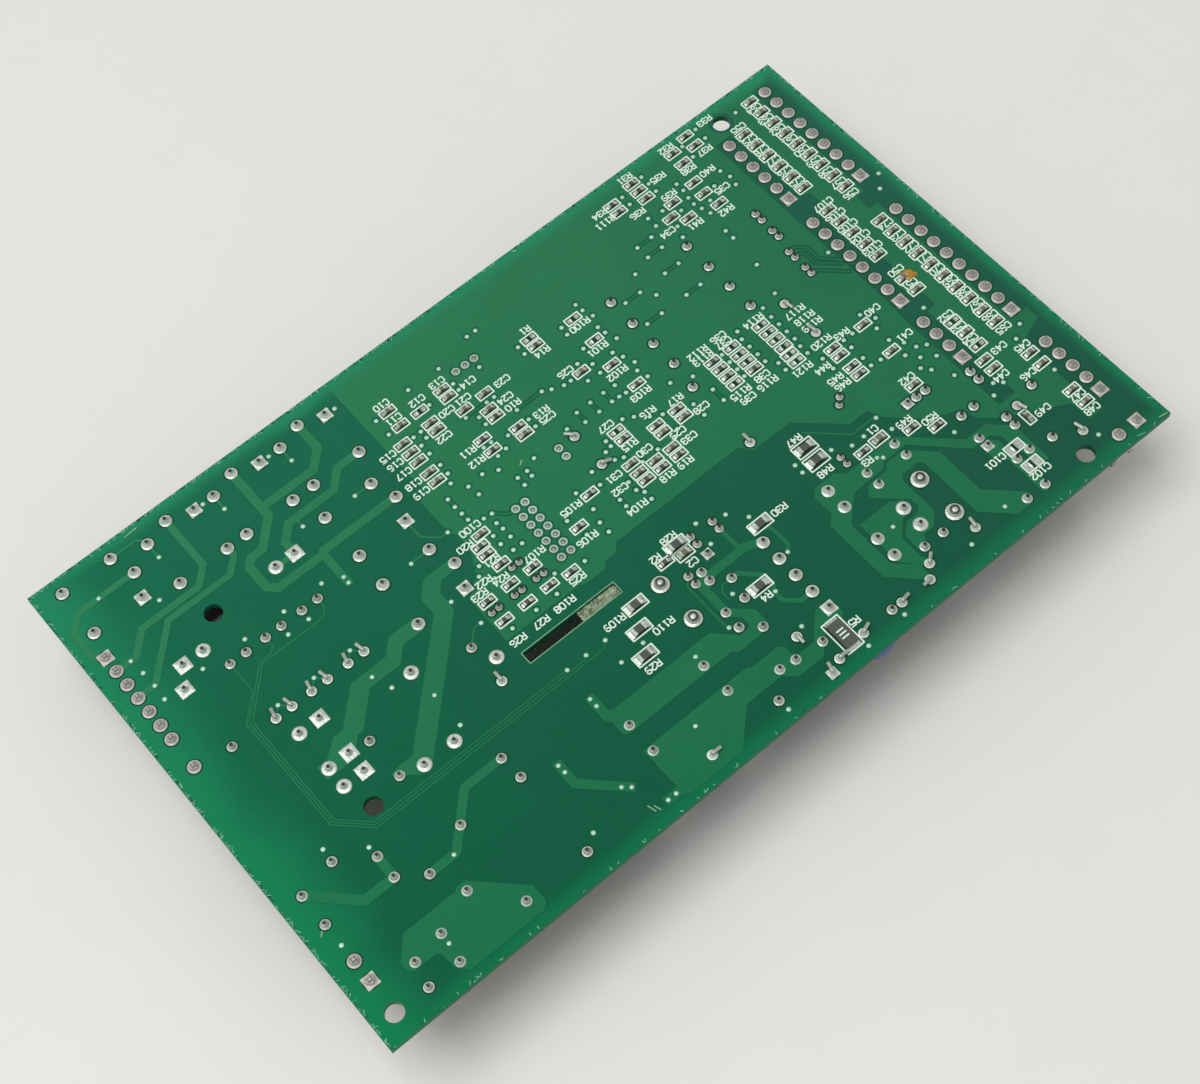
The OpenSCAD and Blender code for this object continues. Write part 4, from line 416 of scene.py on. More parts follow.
# %% Empty places
PAD_DISTANCE, DISTANCE_SLACK = 1.9, 0.5   # between the two pads of a small chip
PAD_REACH, PAD_OFF_AXIS = 2.1, 0.35       # how far from its chip's middle a pad lies, at most
SAME_ROW = 0.05
long_in_x = (chip_sizes[:, 0] > chip_sizes[:, 1])[:, None]
beside = pads[:, None] - chips
beside = abs(np.where(long_in_x, beside, beside[..., ::-1]))
free = pads[((beside[..., 0] > PAD_REACH) | (beside[..., 1] > PAD_OFF_AXIS)).all(1)]
pairs = free[:, None] - free
fits = abs(pairs[..., 0] - PAD_DISTANCE) < DISTANCE_SLACK
left, right = np.nonzero(fits & (abs(pairs[..., 1]) < SAME_ROW))
empty = (free[left] + free[right]) / 2
print(len(empty), "empty places")

# %% [markdown]
# A frame is a closed ribbon: the same eight-cornered outline at two sizes, stitched by quads. Its
# corners are cut off a little, as a pen of some width leaves them.

# %% Print helpers
INK_UP = 0.10                             # millimetres above the laminate, just over the masked copper
INK_STROKE = 0.33
SKIN = 0.02 * MM                          # thickness of ink and of other thin marks
CORNER_CUT, INNER_CUT = 0.15, 0.7         # millimetres, and the inner outline's share of them


def surface_mesh(name, points, faces, material, thickness=0.0, smooth=False):
    """An object from arrays of points in metres and faces, closed by a wall if it has a thickness."""
    mesh = bpy.data.meshes.new(name)
    mesh.from_pydata(points.tolist(), [], faces if isinstance(faces, list) else faces.tolist())
    mesh.polygons.foreach_set("use_smooth", [smooth] * len(mesh.polygons))
    made = bpy.data.objects.new(name, mesh)
    made.data.materials.append(material)
    bpy.context.scene.collection.objects.link(made)
    if thickness:
        wall = made.modifiers.new("wall", "SOLIDIFY")
        wall.thickness, wall.offset = thickness, -1.0
    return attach(made, "root")


def frames(middles, sizes, stroke=INK_STROKE):
    """Ribbons round chips: a rectangle with cut corners, and one that is a stroke smaller all round."""
    sign = np.array([(1, 1), (1, 1), (-1, 1), (-1, 1), (-1, -1), (-1, -1), (1, -1), (1, -1)])
    cut = CORNER_CUT * np.array([(0, 1), (1, 0), (1, 0), (0, 1), (0, 1), (1, 0), (1, 0), (0, 1)])
    outer = sign * (sizes[:, None] / 2 - cut)
    inner = sign * (sizes[:, None] / 2 - stroke - cut * INNER_CUT)
    points = middles[:, None] + np.hstack([outer, inner])
    step = np.arange(8)
    quads = np.stack([step, (step + 1) % 8, (step + 1) % 8 + 8, step + 8], 1)
    quads = quads + 16 * np.arange(len(middles))[:, None, None]
    return points.reshape(-1, 2), quads.reshape(-1, 4)


def blocks(low, high):
    """Closed boxes from their lowest and highest corners, as points and faces."""
    high_side = np.array(list(np.ndindex(2, 2, 2)), bool)
    points = np.where(high_side, high[:, None], low[:, None]).reshape(-1, 3)
    sides = np.array([[0, 1, 3, 2], [4, 6, 7, 5], [0, 4, 5, 1],
                      [2, 3, 7, 6], [0, 2, 6, 4], [1, 5, 7, 3]])
    return points, (sides + 8 * np.arange(len(low))[:, None, None]).reshape(-1, 4)


def on_board(points, up=INK_UP):
    """Flat millimetre points lifted onto the solder side, as metres."""
    return np.array([*(BOARD_LOW[:2, None] + points.T * MM), np.full(len(points), FACE + up * MM)]).T


ink = finish("white_print", paint(226, 244, 226), paint(186, 214, 192), 0.55, specks=1200,
             amount=0.35, bump=0.02)

# %% Frames round the chips
AROUND_LONG, AROUND_WIDE = 2.35, 1.35     # how much larger than its chip a frame is
EMPTY_FRAME, WIDE_EMPTY_FRAME, SHUNT_FRAME = (4.0, 2.2), (4.5, 2.8), (4.5, 8.4)
WIDE_EMPTY = np.array([(174.5, 15.5), (174.5, 10.3)])
WIDE_CHIPS, WIDE_CHIP_FRAME = np.array([(142.5, 44.3), (142.3, 40.5)]), (5.4, 3.5)
SAME_PLACE = 1.0


def near(points, places):
    """True for each point that lies within a millimetre of one of the places, as a column."""
    return (np.linalg.norm(points[:, None] - places, axis=2) < SAME_PLACE).any(1)[:, None]


frame_middles = np.vstack([chips, empty, shunt])
around = np.where(long_in_x, (AROUND_LONG, AROUND_WIDE), (AROUND_WIDE, AROUND_LONG))
frame_sizes = chip_sizes + around
frame_sizes = np.where(near(chips, WIDE_CHIPS), WIDE_CHIP_FRAME, frame_sizes)
empty_sizes = np.where(near(empty, WIDE_EMPTY), WIDE_EMPTY_FRAME, EMPTY_FRAME)
frame_sizes = np.vstack([frame_sizes, empty_sizes, [SHUNT_FRAME]])
points, faces = frames(frame_middles, frame_sizes)
surface_mesh("printed_frames", on_board(points), faces, ink, thickness=SKIN)
print(len(frame_middles), "frames")

# %% [markdown]
# Inside each frame the board is darker than around it: partly a darker mask, partly the chip's
# shade, which is painted in. A flat dark block fills each frame up to the middle of its stroke, just
# lower than the ink, so that the two surfaces never share a level. The two wide empty places get wider pads,
# too.

# %% Dark ground and painted shade inside the frames
GROUND_UP, WIDE_PAD_UP = INK_UP - 0.015, INK_UP + 0.03
WIDE_PAD_OUT, WIDE_PAD_HALF = (1.1, 0.0), np.array([0.75, 1.0])

# A darker mask with the chips' shade painted in
ground = finish("dark_mask_and_painted_shade_under_chips", paint(30, 66, 50), paint(24, 54, 40), 0.4, clouds=300,
                specks=1500, Specular_IOR_Level=MASK_GLOSS)
half = frame_sizes / 2 - INK_STROKE / 2
low, high = on_board(frame_middles - half, 0.0), on_board(frame_middles + half, GROUND_UP)
surface_mesh("dark_grounds", *blocks(low, high), ground)

wide_pads = np.vstack([WIDE_EMPTY - WIDE_PAD_OUT, WIDE_EMPTY + WIDE_PAD_OUT])
low, high = on_board(wide_pads - WIDE_PAD_HALF, 0.0), on_board(wide_pads + WIDE_PAD_HALF, WIDE_PAD_UP)
surface_mesh("wide_chip_pads", *blocks(low, high), chip_solder)

# %% [markdown]
# Each chip carries a metal cap at both ends. A cap is the chip's own box grown by a thin skin and
# cut to a share of its length. Made from the box, it fits every size of chip.

# %% Metal ends of the chips
CAP_SHARE = 0.2
low, high = chip_boxes[:, 0] - SKIN, chip_boxes[:, 1] + SKIN
rows, along = np.arange(len(chips)), np.where(long_in_x[:, 0], 0, 1)
reach = CAP_SHARE * (high - low)[rows, along]
near_high, far_low = high.copy(), low.copy()
near_high[rows, along] = low[rows, along] + reach
far_low[rows, along] = high[rows, along] - reach
points, faces = blocks(np.vstack([low, far_low]), np.vstack([near_high, high]))
surface_mesh("chip_ends", points, faces, chip_solder)
print(2 * len(chips), "metal ends")

# %% [markdown]
# ## Solder that fills and spreads
#
# Round things on the board are turned: a profile of radii and heights is swung round each middle
# by multiplying every radius with the points of a unit circle. A profile starts and ends on the
# axis, so the piece is closed. The unused holes are filled with dull solder, and the joints of
# the heavier parts have wider pads.


# %% Turned pieces
def turned(middles, profile, sides=20, turn=0.0, wider=0.0):
    """Closed pieces of revolution on the board, from one profile of (radius, height) in millimetres.

    The widest rings of each piece can be made wider by a number of its own."""
    radius, height = np.array(profile, float).T
    angle = turn + np.arange(sides) * 2 * np.pi / sides
    circle = np.stack([np.cos(angle), np.sin(angle)], 1)
    radius = np.tile(radius, (len(middles), 1)) + (radius == radius.max()) * np.reshape(wider, (-1, 1))
    flat = (radius[:, 1:-1, None, None] * circle).reshape(len(middles), -1, 2)
    flat = np.concatenate([np.zeros((len(middles), 1, 2)), flat, np.zeros((len(middles), 1, 2))], 1)
    up = np.concatenate([height[:1], np.repeat(height[1:-1], sides), height[-1:]])
    flat = (np.asarray(middles)[:, None] + flat).reshape(-1, 2)
    points = on_board(flat, 0.0)
    points[:, 2] += np.tile(up, len(middles)) * MM
    step, after = np.arange(sides), (np.arange(sides) + 1) % sides
    rings, last = len(height) - 2, 1 + sides * (len(height) - 2)
    quads = np.stack([step, after, after + sides, step + sides], 1) + 1
    quads = (quads + sides * np.arange(rings - 1)[:, None, None]).reshape(-1, 4)
    caps = np.vstack([np.stack([0 * step, after + 1, step + 1], 1),
                      np.stack([0 * step + last, step + last - sides, after + last - sides], 1)])
    offsets = (last + 1) * np.arange(len(middles))[:, None, None]
    quads, caps = (quads + offsets).reshape(-1, 4), (caps + offsets).reshape(-1, 3)
    return points, quads.tolist() + caps.tolist()


# %% Rings, pin ends and filled holes
RING_PROFILE = [(0, 0.005), (0.28, 0.005), (0.28, 0.02), (0, 0.02)]       # radius past the joint, height
HOLE_PROFILE = [(0, -1.0), (0.49, -1.0), (0.49, -0.05), (0.3, 0.03), (0, 0.06)]
SINK_JOINT = 1.9                          # only the joints of heat sink pins have a larger radius
PIN_LEAN = 0.1                            # how far a pin's bright end sits off its middle

joints = np.vstack([solid_boxes("lead_solder"), solid_boxes("post_solder")])
joint_radii = (joints[:, 1, 0] - joints[:, 0, 0]) / 2 / MM
shade = finish("mask_round_joints", paint(16, 66, 46), paint(12, 56, 40), 0.4,
               Specular_IOR_Level=MASK_GLOSS)
surface_mesh("dark_rings", *turned(centres(joints), RING_PROFILE, 24, wider=joint_radii), shade)

sink_pins = centres(joints[joint_radii > SINK_JOINT])
pin_top = float((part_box("heat_sink_1")[1][2] - FACE) / MM)
collar = [(0, pin_top - 0.6), (1.05, pin_top - 0.6), (1.05, pin_top),
          (0.85, pin_top + 0.06), (0, pin_top + 0.06)]
tip = [(0, pin_top), (0.68, pin_top), (0.5, pin_top + 0.12), (0, pin_top + 0.15)]
cut_pin = finish("cut_pin", paint(84, 90, 86), paint(40, 46, 42), 0.4, metal=0.6,
                 specks=1500, bump=0.3)
surface_mesh("sink_pin_collars", *turned(sink_pins, collar), cut_pin)
surface_mesh("sink_pin_ends", *turned(sink_pins - PIN_LEAN, tip), solder, smooth=True)
print(len(joints), "joints,", len(sink_pins), "heat sink pins")

holes = centres(solid_boxes("bare_hole_rings"))
dull_solder = finish("dull_solder", paint(150, 170, 154), paint(96, 116, 102), 0.5, metal=0.4,
                     specks=2500, bump=0.4)
surface_mesh("filled_holes", *turned(holes, HOLE_PROFILE), dull_solder, smooth=True)
print(len(holes), "filled holes")

# %% [markdown]
# A wide pad is a low dome. The same profile with four sides and its radii times the root of two
# gives the square ones, since a square's corners are that much farther out than its sides.

# %% Wider pads
WIDE_ROUND = [(20.8, 90.7), (43.1, 96.1), (24.8, 62.8), (24.8, 52.9), (24.8, 47.9), (39.5, 41),
              (47, 41), (49.6, 58.5), (64.6, 49.7), (147.9, 20.3), (147.9, 15.3)]
WIDE_SQUARE = [(15.8, 90.7), (13, 86), (48, 96.1), (29.8, 62.8), (29.8, 52.9), (29.8, 47.9)]
PAD_DOME = [(0, 0.0), (1.6, 0.0), (1.6, 0.09), (1.45, 0.14), (1.0, 0.22), (0, 0.25)]
surface_mesh("wide_pads", *turned(WIDE_ROUND, PAD_DOME, 28), solder, smooth=True)
square = [(radius * math.sqrt(2), up) for radius, up in PAD_DOME]
surface_mesh("wide_square_pads", *turned(WIDE_SQUARE, square, 4, math.pi / 4), solder)
print(len(WIDE_ROUND), "round and", len(WIDE_SQUARE), "square wide pads")

# %% [markdown]
# Labels are drawn the way a plotter draws them: each letter is a few straight strokes on a grid
# of four by six. A point is written as two digits, across and up. A typeface could be turned into
# a mesh too, but plain strokes of one width are what boards are printed with. The numbers run on
# from one label to the next, so they only tell the parts apart.

# %% Stroke letters
LETTERS = {
    "0": ["10 30 41 45 36 16 05 01 10"], "1": ["15 26 20", "10 30"], "2": ["05 16 36 45 44 00 40"],
    "3": ["05 16 36 45 44 33 13", "33 42 41 30 10 01"], "4": ["30 36 02 42"],
    "5": ["46 06 04 34 43 41 30 10 01"], "6": ["36 16 04 01 10 30 41 42 33 03"], "7": ["06 46 10"],
    "8": ["13 04 05 16 36 45 44 33 13 02 01 10 30 41 42 33"], "9": ["10 30 42 45 36 16 05 04 13 43"],
    "C": ["45 36 16 05 01 10 30 41"], "R": ["00 06 36 45 44 33 03", "23 40"],
}
LETTER_H, LETTER_W, LETTER_STEP = 1.45, 0.95, 1.28
LABEL_STROKE = INK_STROKE - 0.03
LEVELS, LEVEL_STEP = 6, 0.004             # strokes drawn one after another lie at different heights

# Middle of every label: letter, digits of its number, then places on the board
LABELS = [
    ("R", 1, [(117.6, 106.4), (102.6, 45.3), (149.9, 33.2), (113.8, 23.9), (123.1, 8.1)]),
    ("C", 1, [(155.8, 38.1), (107.8, 39.7)]),
    ("R", 2, [(103.9, 93.5), (89.6, 90.8), (89.6, 87.7), (107.3, 88.1), (116.9, 99.6), (116, 69.3),
              (123.9, 72.8), (130.2, 71.3), (117.1, 58.3), (121.9, 58.3), (75.2, 73.5), (77.4, 67.4),
              (73.1, 64.6), (70.6, 62.8), (76.1, 62.8), (87.9, 52.4), (70.2, 49.7), (76.2, 49.7),
              (107.6, 47.1), (86.7, 27.2), (128.9, 37),
              (159.3, 122.6), (171.4, 122.6), (182.8, 122.6), (149, 118.9), (164.9, 117.7), (155.3, 113.3),
              (177.5, 116.3), (171.4, 114.8), (163.6, 112.4), (174.2, 111.6), (162.9, 102.5), (170.3, 100.7),
              (167.1, 59.8), (158.3, 56.1), (158.5, 52.4), (158.7, 50.3), (142, 47.1), (141.9, 37.3),
              (161.9, 35.1), (166.4, 32.1)]),
    ("R", 3, [(127.2, 99.4), (126.2, 92.1), (125.4, 84.6), (125.8, 77.3), (107.6, 56.9), (97.2, 65.8),
              (95.2, 58.1), (84.8, 62.6), (82.3, 49.7), (87.2, 39.8), (94.1, 32.7), (148.5, 116.3),
              (141.3, 76.9), (141.3, 75.1), (155.4, 75), (141.6, 63.3), (147.3, 61.2), (163.5, 70.7),
              (164, 68.2), (164.1, 65.9), (162.5, 61.2), (155, 58.8)]),
    ("C", 2, [(82.9, 112.4), (82.8, 107.8), (89.3, 108.1), (95.2, 108.8), (100.2, 104.4),
              (76.3, 101.3), (76.3, 98.7), (76.3, 95.8), (76.3, 92.4), (76.3, 89.6), (92.4, 101.7),
              (96.8, 101.7), (88.1, 97.1), (105.9, 99.7), (103.7, 95.9), (107.4, 86.1), (117.3, 92.2),
              (115.1, 76.1), (133, 66.1), (125.4, 64.8), (117.4, 66.2), (108.6, 65.6), (107.6, 62.5),
              (126.3, 62.3), (156.9, 104.9), (173.5, 105.8), (147.1, 76.9), (147.1, 75.1),
              (147.6, 63.3), (141.8, 61.2), (176, 59.9), (176.7, 50.6), (169.6, 42.4), (189.1, 35),
              (184.6, 29.7), (193, 32), (189, 26.2), (192.9, 15.7), (192.8, 11.4), (185.1, 18), (186.6, 63.9),
              (186.4, 59.4), (186.4, 48.2), (186.4, 44.4), (186.1, 40.5), (187.1, 115.8)]
        + [(193.3, 85.4 + 4.02 * i) for i in range(9)] + [(193.3, 37.9 + 4.05 * i) for i in range(10)]
        + [(186.8, 95.8 + 3.95 * i) for i in range(5)]),
    ("C", 3, [(78.6, 76.2), (169.3, 15.7), (174.5, 7.9)] + [(186.9, 71.6 + 3.95 * i) for i in range(5)]),
]


def strokes_of(text, middle):
    """Both ends of every stroke of a label whose middle is given, turned half round on the board."""
    ends = []
    for place, letter in enumerate(text):
        for run in LETTERS[letter]:
            dots = np.array([(int(dot[0]), int(dot[1])) for dot in run.split()], float)
            dots *= (LETTER_W / 4, LETTER_H / 6)
            dots += ((place - (len(text) - 1) / 2) * LETTER_STEP - LETTER_W / 2, -LETTER_H / 2)
            ends.append(np.stack([dots[:-1], dots[1:]], 1))
    return middle - np.vstack(ends)


def ribbons(ends, width):
    """A quad along each stroke: its two ends pushed out by a third of the width and to both sides."""
    along = ends[:, 1] - ends[:, 0]
    along /= np.linalg.norm(along, axis=1, keepdims=True)
    side = np.stack([-along[:, 1], along[:, 0]], 1) * width / 2
    first, last = ends[:, 0] - along * width / 3, ends[:, 1] + along * width / 3
    points = np.stack([first - side, last - side, last + side, first + side], 1).reshape(-1, 2)
    return points, np.arange(len(points)).reshape(-1, 4)


strokes, next_number = [], {}
for letter, digits, places in LABELS:
    for middle in places:
        number = next_number.get((letter, digits), 10 ** (digits - 1))
        next_number[letter, digits] = number + 1
        strokes.append(strokes_of(letter + str(number), np.array(middle)))
points, faces = ribbons(np.vstack(strokes), LABEL_STROKE)
points = on_board(points)
points[:, 2] += np.repeat(np.arange(len(faces)) % LEVELS, 4) * LEVEL_STEP * MM
surface_mesh("printed_labels", points, faces, ink, thickness=SKIN)
print(len(strokes), "labels,", len(faces), "strokes")

# %% [markdown]
# The current sensing resistor carries three pale bars across its back. They are thin blocks that
# reach as far into the back as they stand out of it.

# %% Bars on the sensing resistor
BAR_PLACES, BAR_HALF, BAR_UP = np.array([(0.0, 0.9), (0.0, 0.0), (0.0, -0.9)]), np.array([0.9, 0.17]), 0.02
shunt_top = (solid_boxes("shunt_resistor")[0, 1, 2] - FACE) / MM
bars = shunt + BAR_PLACES
low, high = on_board(bars - BAR_HALF, shunt_top - BAR_UP), on_board(bars + BAR_HALF, shunt_top + BAR_UP)
surface_mesh("sensing_resistor_bars", *blocks(low, high), ink)
print(len(bars), "bars on the sensing resistor, at", round(float(shunt_top), 2), "mm")

# %% [markdown]
# ## Wear
#
# The slot was punched, so its rim and its far wall are pale, and its right part is still choked
# with glass fibres. Single hairs would take many more faces. A sheet whose height is random,
# smoothed once along both axes, looks much the same from a normal distance.

# %% Slot
SLOT_LOW, SLOT_HIGH = np.array([68.9, 44.2]), np.array([92.7, 47.0])
RIM_STROKE, RIM_UP = 0.2, 0.05
WALL_GAP, WALL_DEPTH = 0.05, 1.4          # gap to the slot's ends and to its rim, and how far it goes down
rng = np.random.default_rng(17)
fibre = finish("glass_fibre", paint(200, 214, 186), paint(104, 120, 96), 0.7,
               clouds=700, specks=2500, amount=1.0, bump=0.6)
middle, size = (SLOT_LOW + SLOT_HIGH) / 2, SLOT_HIGH - SLOT_LOW
rim = finish("pale_rim", paint(140, 186, 144), paint(96, 150, 112), 0.6,
             clouds=400, specks=2500, amount=1.0)
points, faces = frames(middle[None], size[None] + 2 * RIM_STROKE, stroke=RIM_STROKE)
surface_mesh("slot_rim", on_board(points, RIM_UP), faces, rim, thickness=SKIN)
wall_ends = np.array([(SLOT_LOW[0] + WALL_GAP, SLOT_HIGH[1] - 0.08), SLOT_HIGH - (WALL_GAP, 0.02)])
wall_low, wall_high = on_board(wall_ends, -WALL_GAP)
surface_mesh("slot_wall", *blocks(wall_low[None] - (0, 0, WALL_DEPTH * MM), wall_high[None]), rim)

# %% Fibres in the slot
FIBRES_FROM, COLUMNS, ROWS = 83.0, 80, 24
FIBRE_DEPTH, FIBRE_RELIEF, FIBRE_SHEET = 0.3, 0.9, 0.15
x_steps = np.linspace(FIBRES_FROM, SLOT_HIGH[0] - WALL_GAP, COLUMNS)
y_steps = np.linspace(SLOT_LOW[1] + WALL_GAP, SLOT_HIGH[1] - WALL_GAP, ROWS)
grid = np.stack(np.meshgrid(x_steps, y_steps, indexing="ij"), -1)
rough = rng.random(grid.shape[:2])
rough = (rough + np.roll(rough, 1, 0) + np.roll(rough, 1, 1)) / 3
points = on_board(grid.reshape(-1, 2), 0.0)
points[:, 2] -= (FIBRE_DEPTH + FIBRE_RELIEF * rough.ravel()) * MM
first = np.arange(COLUMNS - 1)[:, None] * ROWS + np.arange(ROWS - 1)
faces = np.stack([first, first + ROWS, first + ROWS + 1, first + 1], -1).reshape(-1, 4)
surface_mesh("slot_fibres", points, faces, fibre, thickness=FIBRE_SHEET * MM)
print(len(faces), "faces of fibre")

# %% [markdown]
# The board was snapped from its panel. Short pale fibres and dark nicks lie at random along the
# sides, more of them on the far and left ones. Each is one ribbon of random length and slant, so
# no two are alike.

# %% Snapped edges
FROM_EDGE, EDGE_KEEP, SLIDE = 0.12, 0.2, 0.5
FIBRE_UP, NICK_UP = 0.06, 0.05
FAR_CORNER = (BOARD_L - EDGE_KEEP, BOARD_W - EDGE_KEEP)
# Where each side starts, whether it runs to the right or away, and how many marks it has
SIDES = ((0, BOARD_W, 1, 0, 200), (0, 0, 0, 1, 110), (0, 0, 1, 0, 50), (BOARD_L, 0, 0, 1, 50))


def edge_marks(share, reach):
    """Both ends of short random strokes: a random place on a side, and one up to a reach inwards."""
    ends = []
    for x, y, right, far, count in SIDES:
        count = int(count * share)
        run = rng.random((count, 1)) * np.array([[BOARD_L * right, BOARD_W * far]]) + (x, y)
        inward = np.array([far * (1 if x == 0 else -1), right * (1 if y == 0 else -1)])
        slide = np.array([right, far]) * rng.normal(0, SLIDE, (count, 1))
        start = np.clip(run + inward * FROM_EDGE, EDGE_KEEP, FAR_CORNER)
        end = start + inward * rng.random((count, 1)) * reach + slide
        ends.append(np.stack([start, np.clip(end, EDGE_KEEP, FAR_CORNER)], 1))
    return np.vstack(ends)


pale_mark = finish("edge_fibre", paint(130, 196, 160), paint(70, 150, 116), 0.6)
dark_mark = finish("edge_nick", paint(10, 62, 44), paint(4, 44, 32), 0.6)
points, faces = ribbons(edge_marks(1.0, 0.7), 0.16)
surface_mesh("edge_fibres", on_board(points, FIBRE_UP), faces, pale_mark, thickness=SKIN)
print(len(faces), "fibres along the sides")
points, faces = ribbons(edge_marks(0.6, 0.5), 0.2)
surface_mesh("edge_nicks", on_board(points, NICK_UP), faces, dark_mark, thickness=SKIN)
print(len(faces), "nicks")

# %% [markdown]
# Where the mask was knocked off, pale laminate shows. Each such spot is one short ribbon. A drop of
# flux dried to a brown glaze near one row of pins, with two splashes beside it.

# %% Chips of mask, a scratch and a drop of flux
BARE_SPOTS = [((23.5, 123.2), (26.5, 123.4)), ((128.5, 124.3), (129.2, 124.1)),
              ((0.4, 69.0), (0.7, 70.0)), ((3.2, 26.2), (3.9, 27.0)), ((66.8, 5.4), (67.3, 3.6)),
              ((67.8, 4.6), (68.2, 3.2)), ((201.5, 0.8), (203.4, 0.5)), ((95.9, 81.1), (96.8, 81.7))]
SPOT_STROKE, SPOT_UP = 0.3, 0.12
DROP = [(0, 0.02), (1.45, 0.02), (1.3, 0.2), (0.8, 0.4), (0, 0.5)]
SPLASH = [(0, 0.02), (0.7, 0.02), (0.5, 0.15), (0, 0.2)]

points, faces = ribbons(np.array(BARE_SPOTS), SPOT_STROKE)
surface_mesh("bare_spots", on_board(points, SPOT_UP), faces, rim, thickness=SKIN)
flux = finish("flux_drop", paint(196, 140, 44), paint(128, 84, 26), 0.15, clouds=500)
surface_mesh("flux_drop", *turned([(187.9, 61.4)], DROP), flux, smooth=True)
surface_mesh("flux_splash", *turned([(189.0, 60.6), (186.9, 62.2)], SPLASH), flux, smooth=True)

# %% [markdown]
# ## Under the board
#
# The parts below are CAD solids; paint and foil are laid on them. A band is a thin ring round a
# lying body, a stripe is a sheet bent round an upright can, and each can ends in bare aluminium.
# A painted texture would need a map for every body; rings and sheets need only the body's box.

# %% Bands
BAND_SIDES, BAND_OUT, BAND_IN = 28, 0.07, -0.05           # in millimetres from the body's face


def bands(boxes, share, width, thinner=1.0):
    """Closed rings round lying bodies: a small rectangle swung round each body's long axis.

    The share tells how far from the middle the ring sits, as a part of the body's length."""
    sizes = boxes[:, 1] - boxes[:, 0]
    lies_in_x = (sizes[:, 0] > sizes[:, 1])[:, None]
    axis = np.where(lies_in_x, (1, 0, 0), (0, 1, 0))
    side = np.where(lies_in_x, (0, 1, 0), (-1, 0, 0))
    radius = sizes[:, 2] / 2 * thinner
    angle = np.arange(BAND_SIDES) * 2 * np.pi / BAND_SIDES
    spoke = np.cos(angle)[:, None] * side[:, None] + np.sin(angle)[:, None] * np.array([0, 0, 1])
    middle = boxes.mean(1) + axis * share * sizes[:, :2].max(1)[:, None]
    corners = ((-1, BAND_OUT), (1, BAND_OUT), (1, BAND_IN), (-1, BAND_IN))
    rings = [middle[:, None] + axis[:, None] * end * width * MM / 2
             + spoke * (radius + grow * MM)[:, None, None] for end, grow in corners]
    step = np.arange(BAND_SIDES)
    after = (step + 1) % BAND_SIDES
    ring = np.arange(4)[:, None] * BAND_SIDES
    following = (np.arange(4)[:, None] + 1) % 4 * BAND_SIDES
    quads = np.stack([ring + step, ring + after, following + after, following + step], -1)
    quads = quads.reshape(-1, 4) + 4 * BAND_SIDES * np.arange(len(boxes))[:, None, None]
    return np.stack(rings, 1).reshape(-1, 3), quads.reshape(-1, 4)


def enamel(name, red, green, blue, rough=0.4):
    """Even paint, a little darker in its clouds."""
    darker = paint(red * 0.8, green * 0.8, blue * 0.8)
    return finish(name, paint(red, green, blue), darker, rough, amount=0.5)


# Paint of each band, and its place as a share of the body's length
BAND_PAINTS = {"brown": ((112, 62, 34), -0.18), "black": ((26, 26, 28), -0.07),
               "red": ((172, 44, 40), 0.04), "gold": ((184, 146, 66), 0.18)}
WAIST = 0.86                              # a resistor's waist, as a share of its thick ends

small, power, diodes = (solid_boxes(name) for name in ("small_resistors", "power_resistors", "diodes"))
for name, (chip, share) in BAND_PAINTS.items():
    band_paint = enamel(name + "_band", *chip)
    surface_mesh(f"small_{name}_bands", *bands(small, share, 0.45, WAIST), band_paint)
    surface_mesh(f"power_{name}_bands", *bands(power, share, 0.8, WAIST), band_paint)
surface_mesh("cathode_bands", *bands(diodes, 0.32, 0.7), enamel("silver_band", 196, 198, 198, 0.3))
print(len(small), "small and", len(power), "power resistors,", len(diodes), "diodes")

# %% Stripes and can ends
STRIPE_START, STRIPE_STOP = 3.1, 0.9      # millimetres from a can's two ends
STRIPE_POINTS, STRIPE_SPREAD, STRIPE_SHEET = 7, 0.45, 0.03
STRIPE_OUT = 0.04
CAN_RIM, END_LOW, END_HIGH = 0.95, 0.1, 0.25              # width of the crimp, and the foil's two levels


def stripes(boxes, start, end):
    """Thin sheets bent round upright cans, between two distances in millimetres from the board's end."""
    angle = np.linspace(-STRIPE_SPREAD, STRIPE_SPREAD, STRIPE_POINTS) - np.pi / 2
    radius = (boxes[:, 1, 0] - boxes[:, 0, 0])[:, None] / 2 + STRIPE_OUT * MM
    round_can = np.stack([np.cos(angle) * radius, np.sin(angle) * radius], -1)
    flat = boxes.mean(1)[:, None, :2] + round_can
    heights = [(boxes[:, 1, 2] - up * MM)[:, None] for up in (start, end)]
    rows = [np.dstack([flat, np.full(flat.shape[:2], 1.0) * height]) for height in heights]
    step = np.arange(STRIPE_POINTS - 1)
    quads = np.stack([step, step + 1, step + 1 + STRIPE_POINTS, step + STRIPE_POINTS], 1)
    quads = quads + 2 * STRIPE_POINTS * np.arange(len(boxes))[:, None, None]
    return np.stack(rows, 1).reshape(-1, 3), quads.reshape(-1, 4)


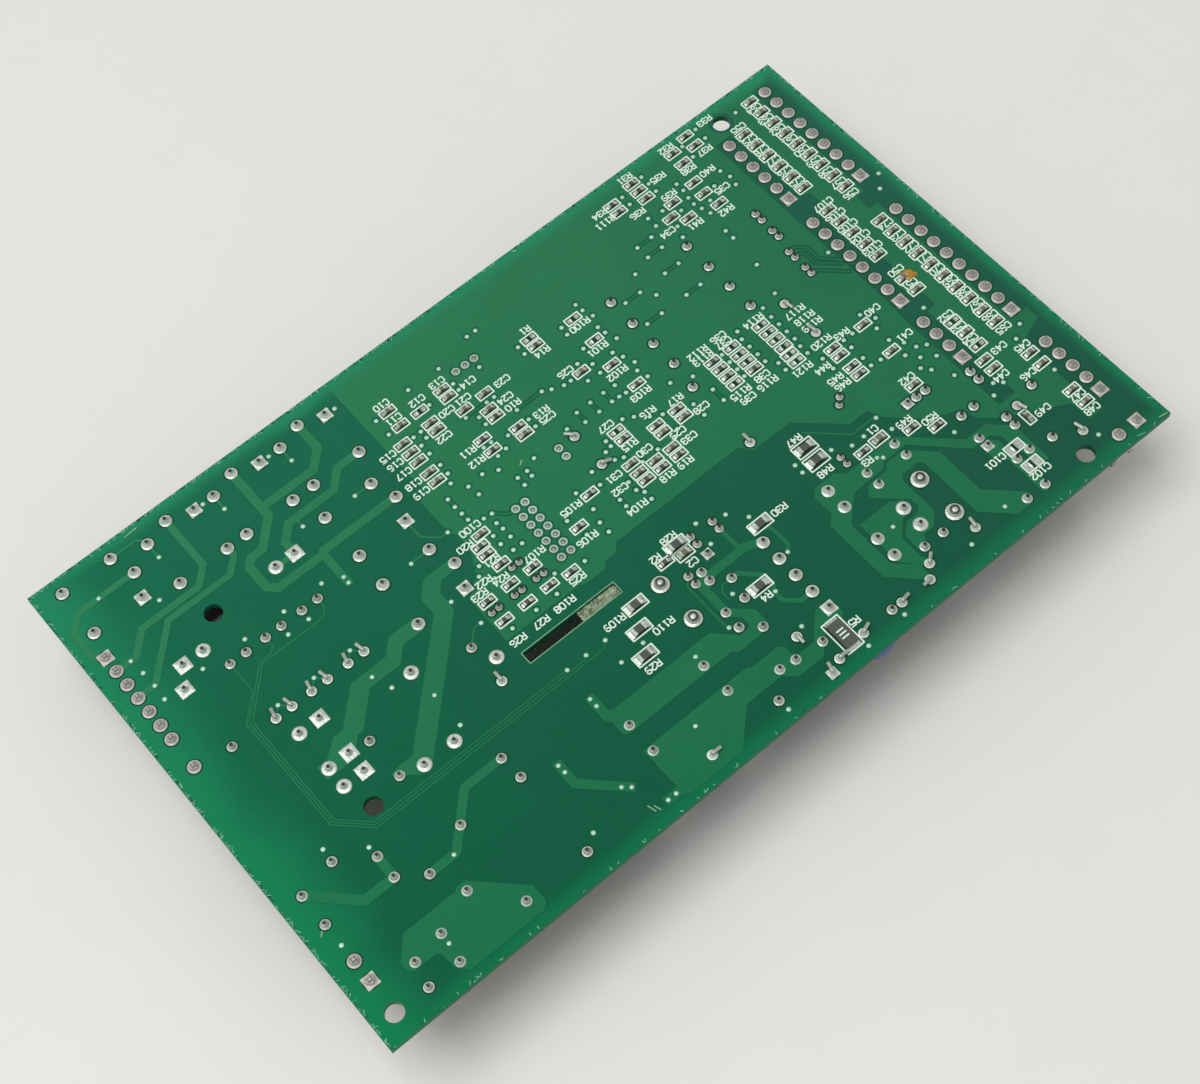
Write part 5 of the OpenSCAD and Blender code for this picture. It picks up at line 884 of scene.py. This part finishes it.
small_cans = solid_boxes("electrolytic_capacitors")
bulk_cans = np.vstack([solid_boxes("bulk_capacitor_1"), solid_boxes("bulk_capacitor_2")])
pale_stripe = enamel("pale_stripe", 206, 208, 200)
foil = finish("can_aluminium", paint(206, 208, 210), paint(176, 178, 180), 0.35, metal=0.9)
for name, cans in (("small", small_cans), ("bulk", bulk_cans)):
    tall = (cans[0, 1, 2] - cans[0, 0, 2]) / MM
    points, faces = stripes(cans, STRIPE_START, tall - STRIPE_STOP)
    surface_mesh(name + "_can_stripes", points, faces, pale_stripe, thickness=STRIPE_SHEET * MM)
    # A flat disc for each can: all radii of the profile are 0, and each can adds its own
    low, high = (float((cans[0, 0, 2] - FACE) / MM) + level for level in (END_LOW, END_HIGH))
    disc_radii = (cans[:, 1, 0] - cans[:, 0, 0]) / MM / 2 - CAN_RIM
    disc = turned(centres(cans), [(0, low), (0, low), (0, high), (0, high)], 24, wider=disc_radii)
    surface_mesh(name + "_can_ends", *disc, foil)
    print(len(cans), name, "cans,", round(float(tall), 1), "mm tall")

# %% [markdown]
# ## Table and light
#
# One wide soft lamp high up to the left of the board and an even pale surround. Together they light
# a level surface to about 1, so a colour comes out about as it was written.

# %% Stage
FLOOR = 3.0                               # metres
bpy.ops.mesh.primitive_plane_add(size=FLOOR)
floor = bpy.context.object
floor.name = "table"
table_top = finish("pale_table", paint(231, 230, 227), paint(227, 226, 223), 0.5,
                   clouds=8, specks=60, grain=400, bump=0.02)
floor.data.materials.append(table_top)

# %% Light
SURROUND = 0.48
world = bpy.data.worlds.new("surround")
world.use_nodes = True
world.node_tree.nodes["Background"].inputs["Color"].default_value = (1.0, 1.0, 1.0, 1.0)
world.node_tree.nodes["Background"].inputs["Strength"].default_value = SURROUND
bpy.context.scene.world = world


def soft_lamp(name, place, target, size, level):
    """A square lamp that lights a surface facing it at the target to the given level.

    Its power is the level times pi squared times the distance squared."""
    light = bpy.data.lights.new(name, "AREA")
    lamp = bpy.data.objects.new(name, light)
    away = Vector(place) - Vector(target)
    light.shape, light.size = "SQUARE", size
    light.energy = level * math.pi * math.pi * away.length_squared
    lamp.matrix_world = Matrix.Translation(place) @ away.to_track_quat("Z", "Y").to_matrix().to_4x4()
    bpy.context.scene.collection.objects.link(lamp)


soft_lamp("window", (-0.62, 0.24, 2.1), (0, 0, 0), 1.5, 0.60)
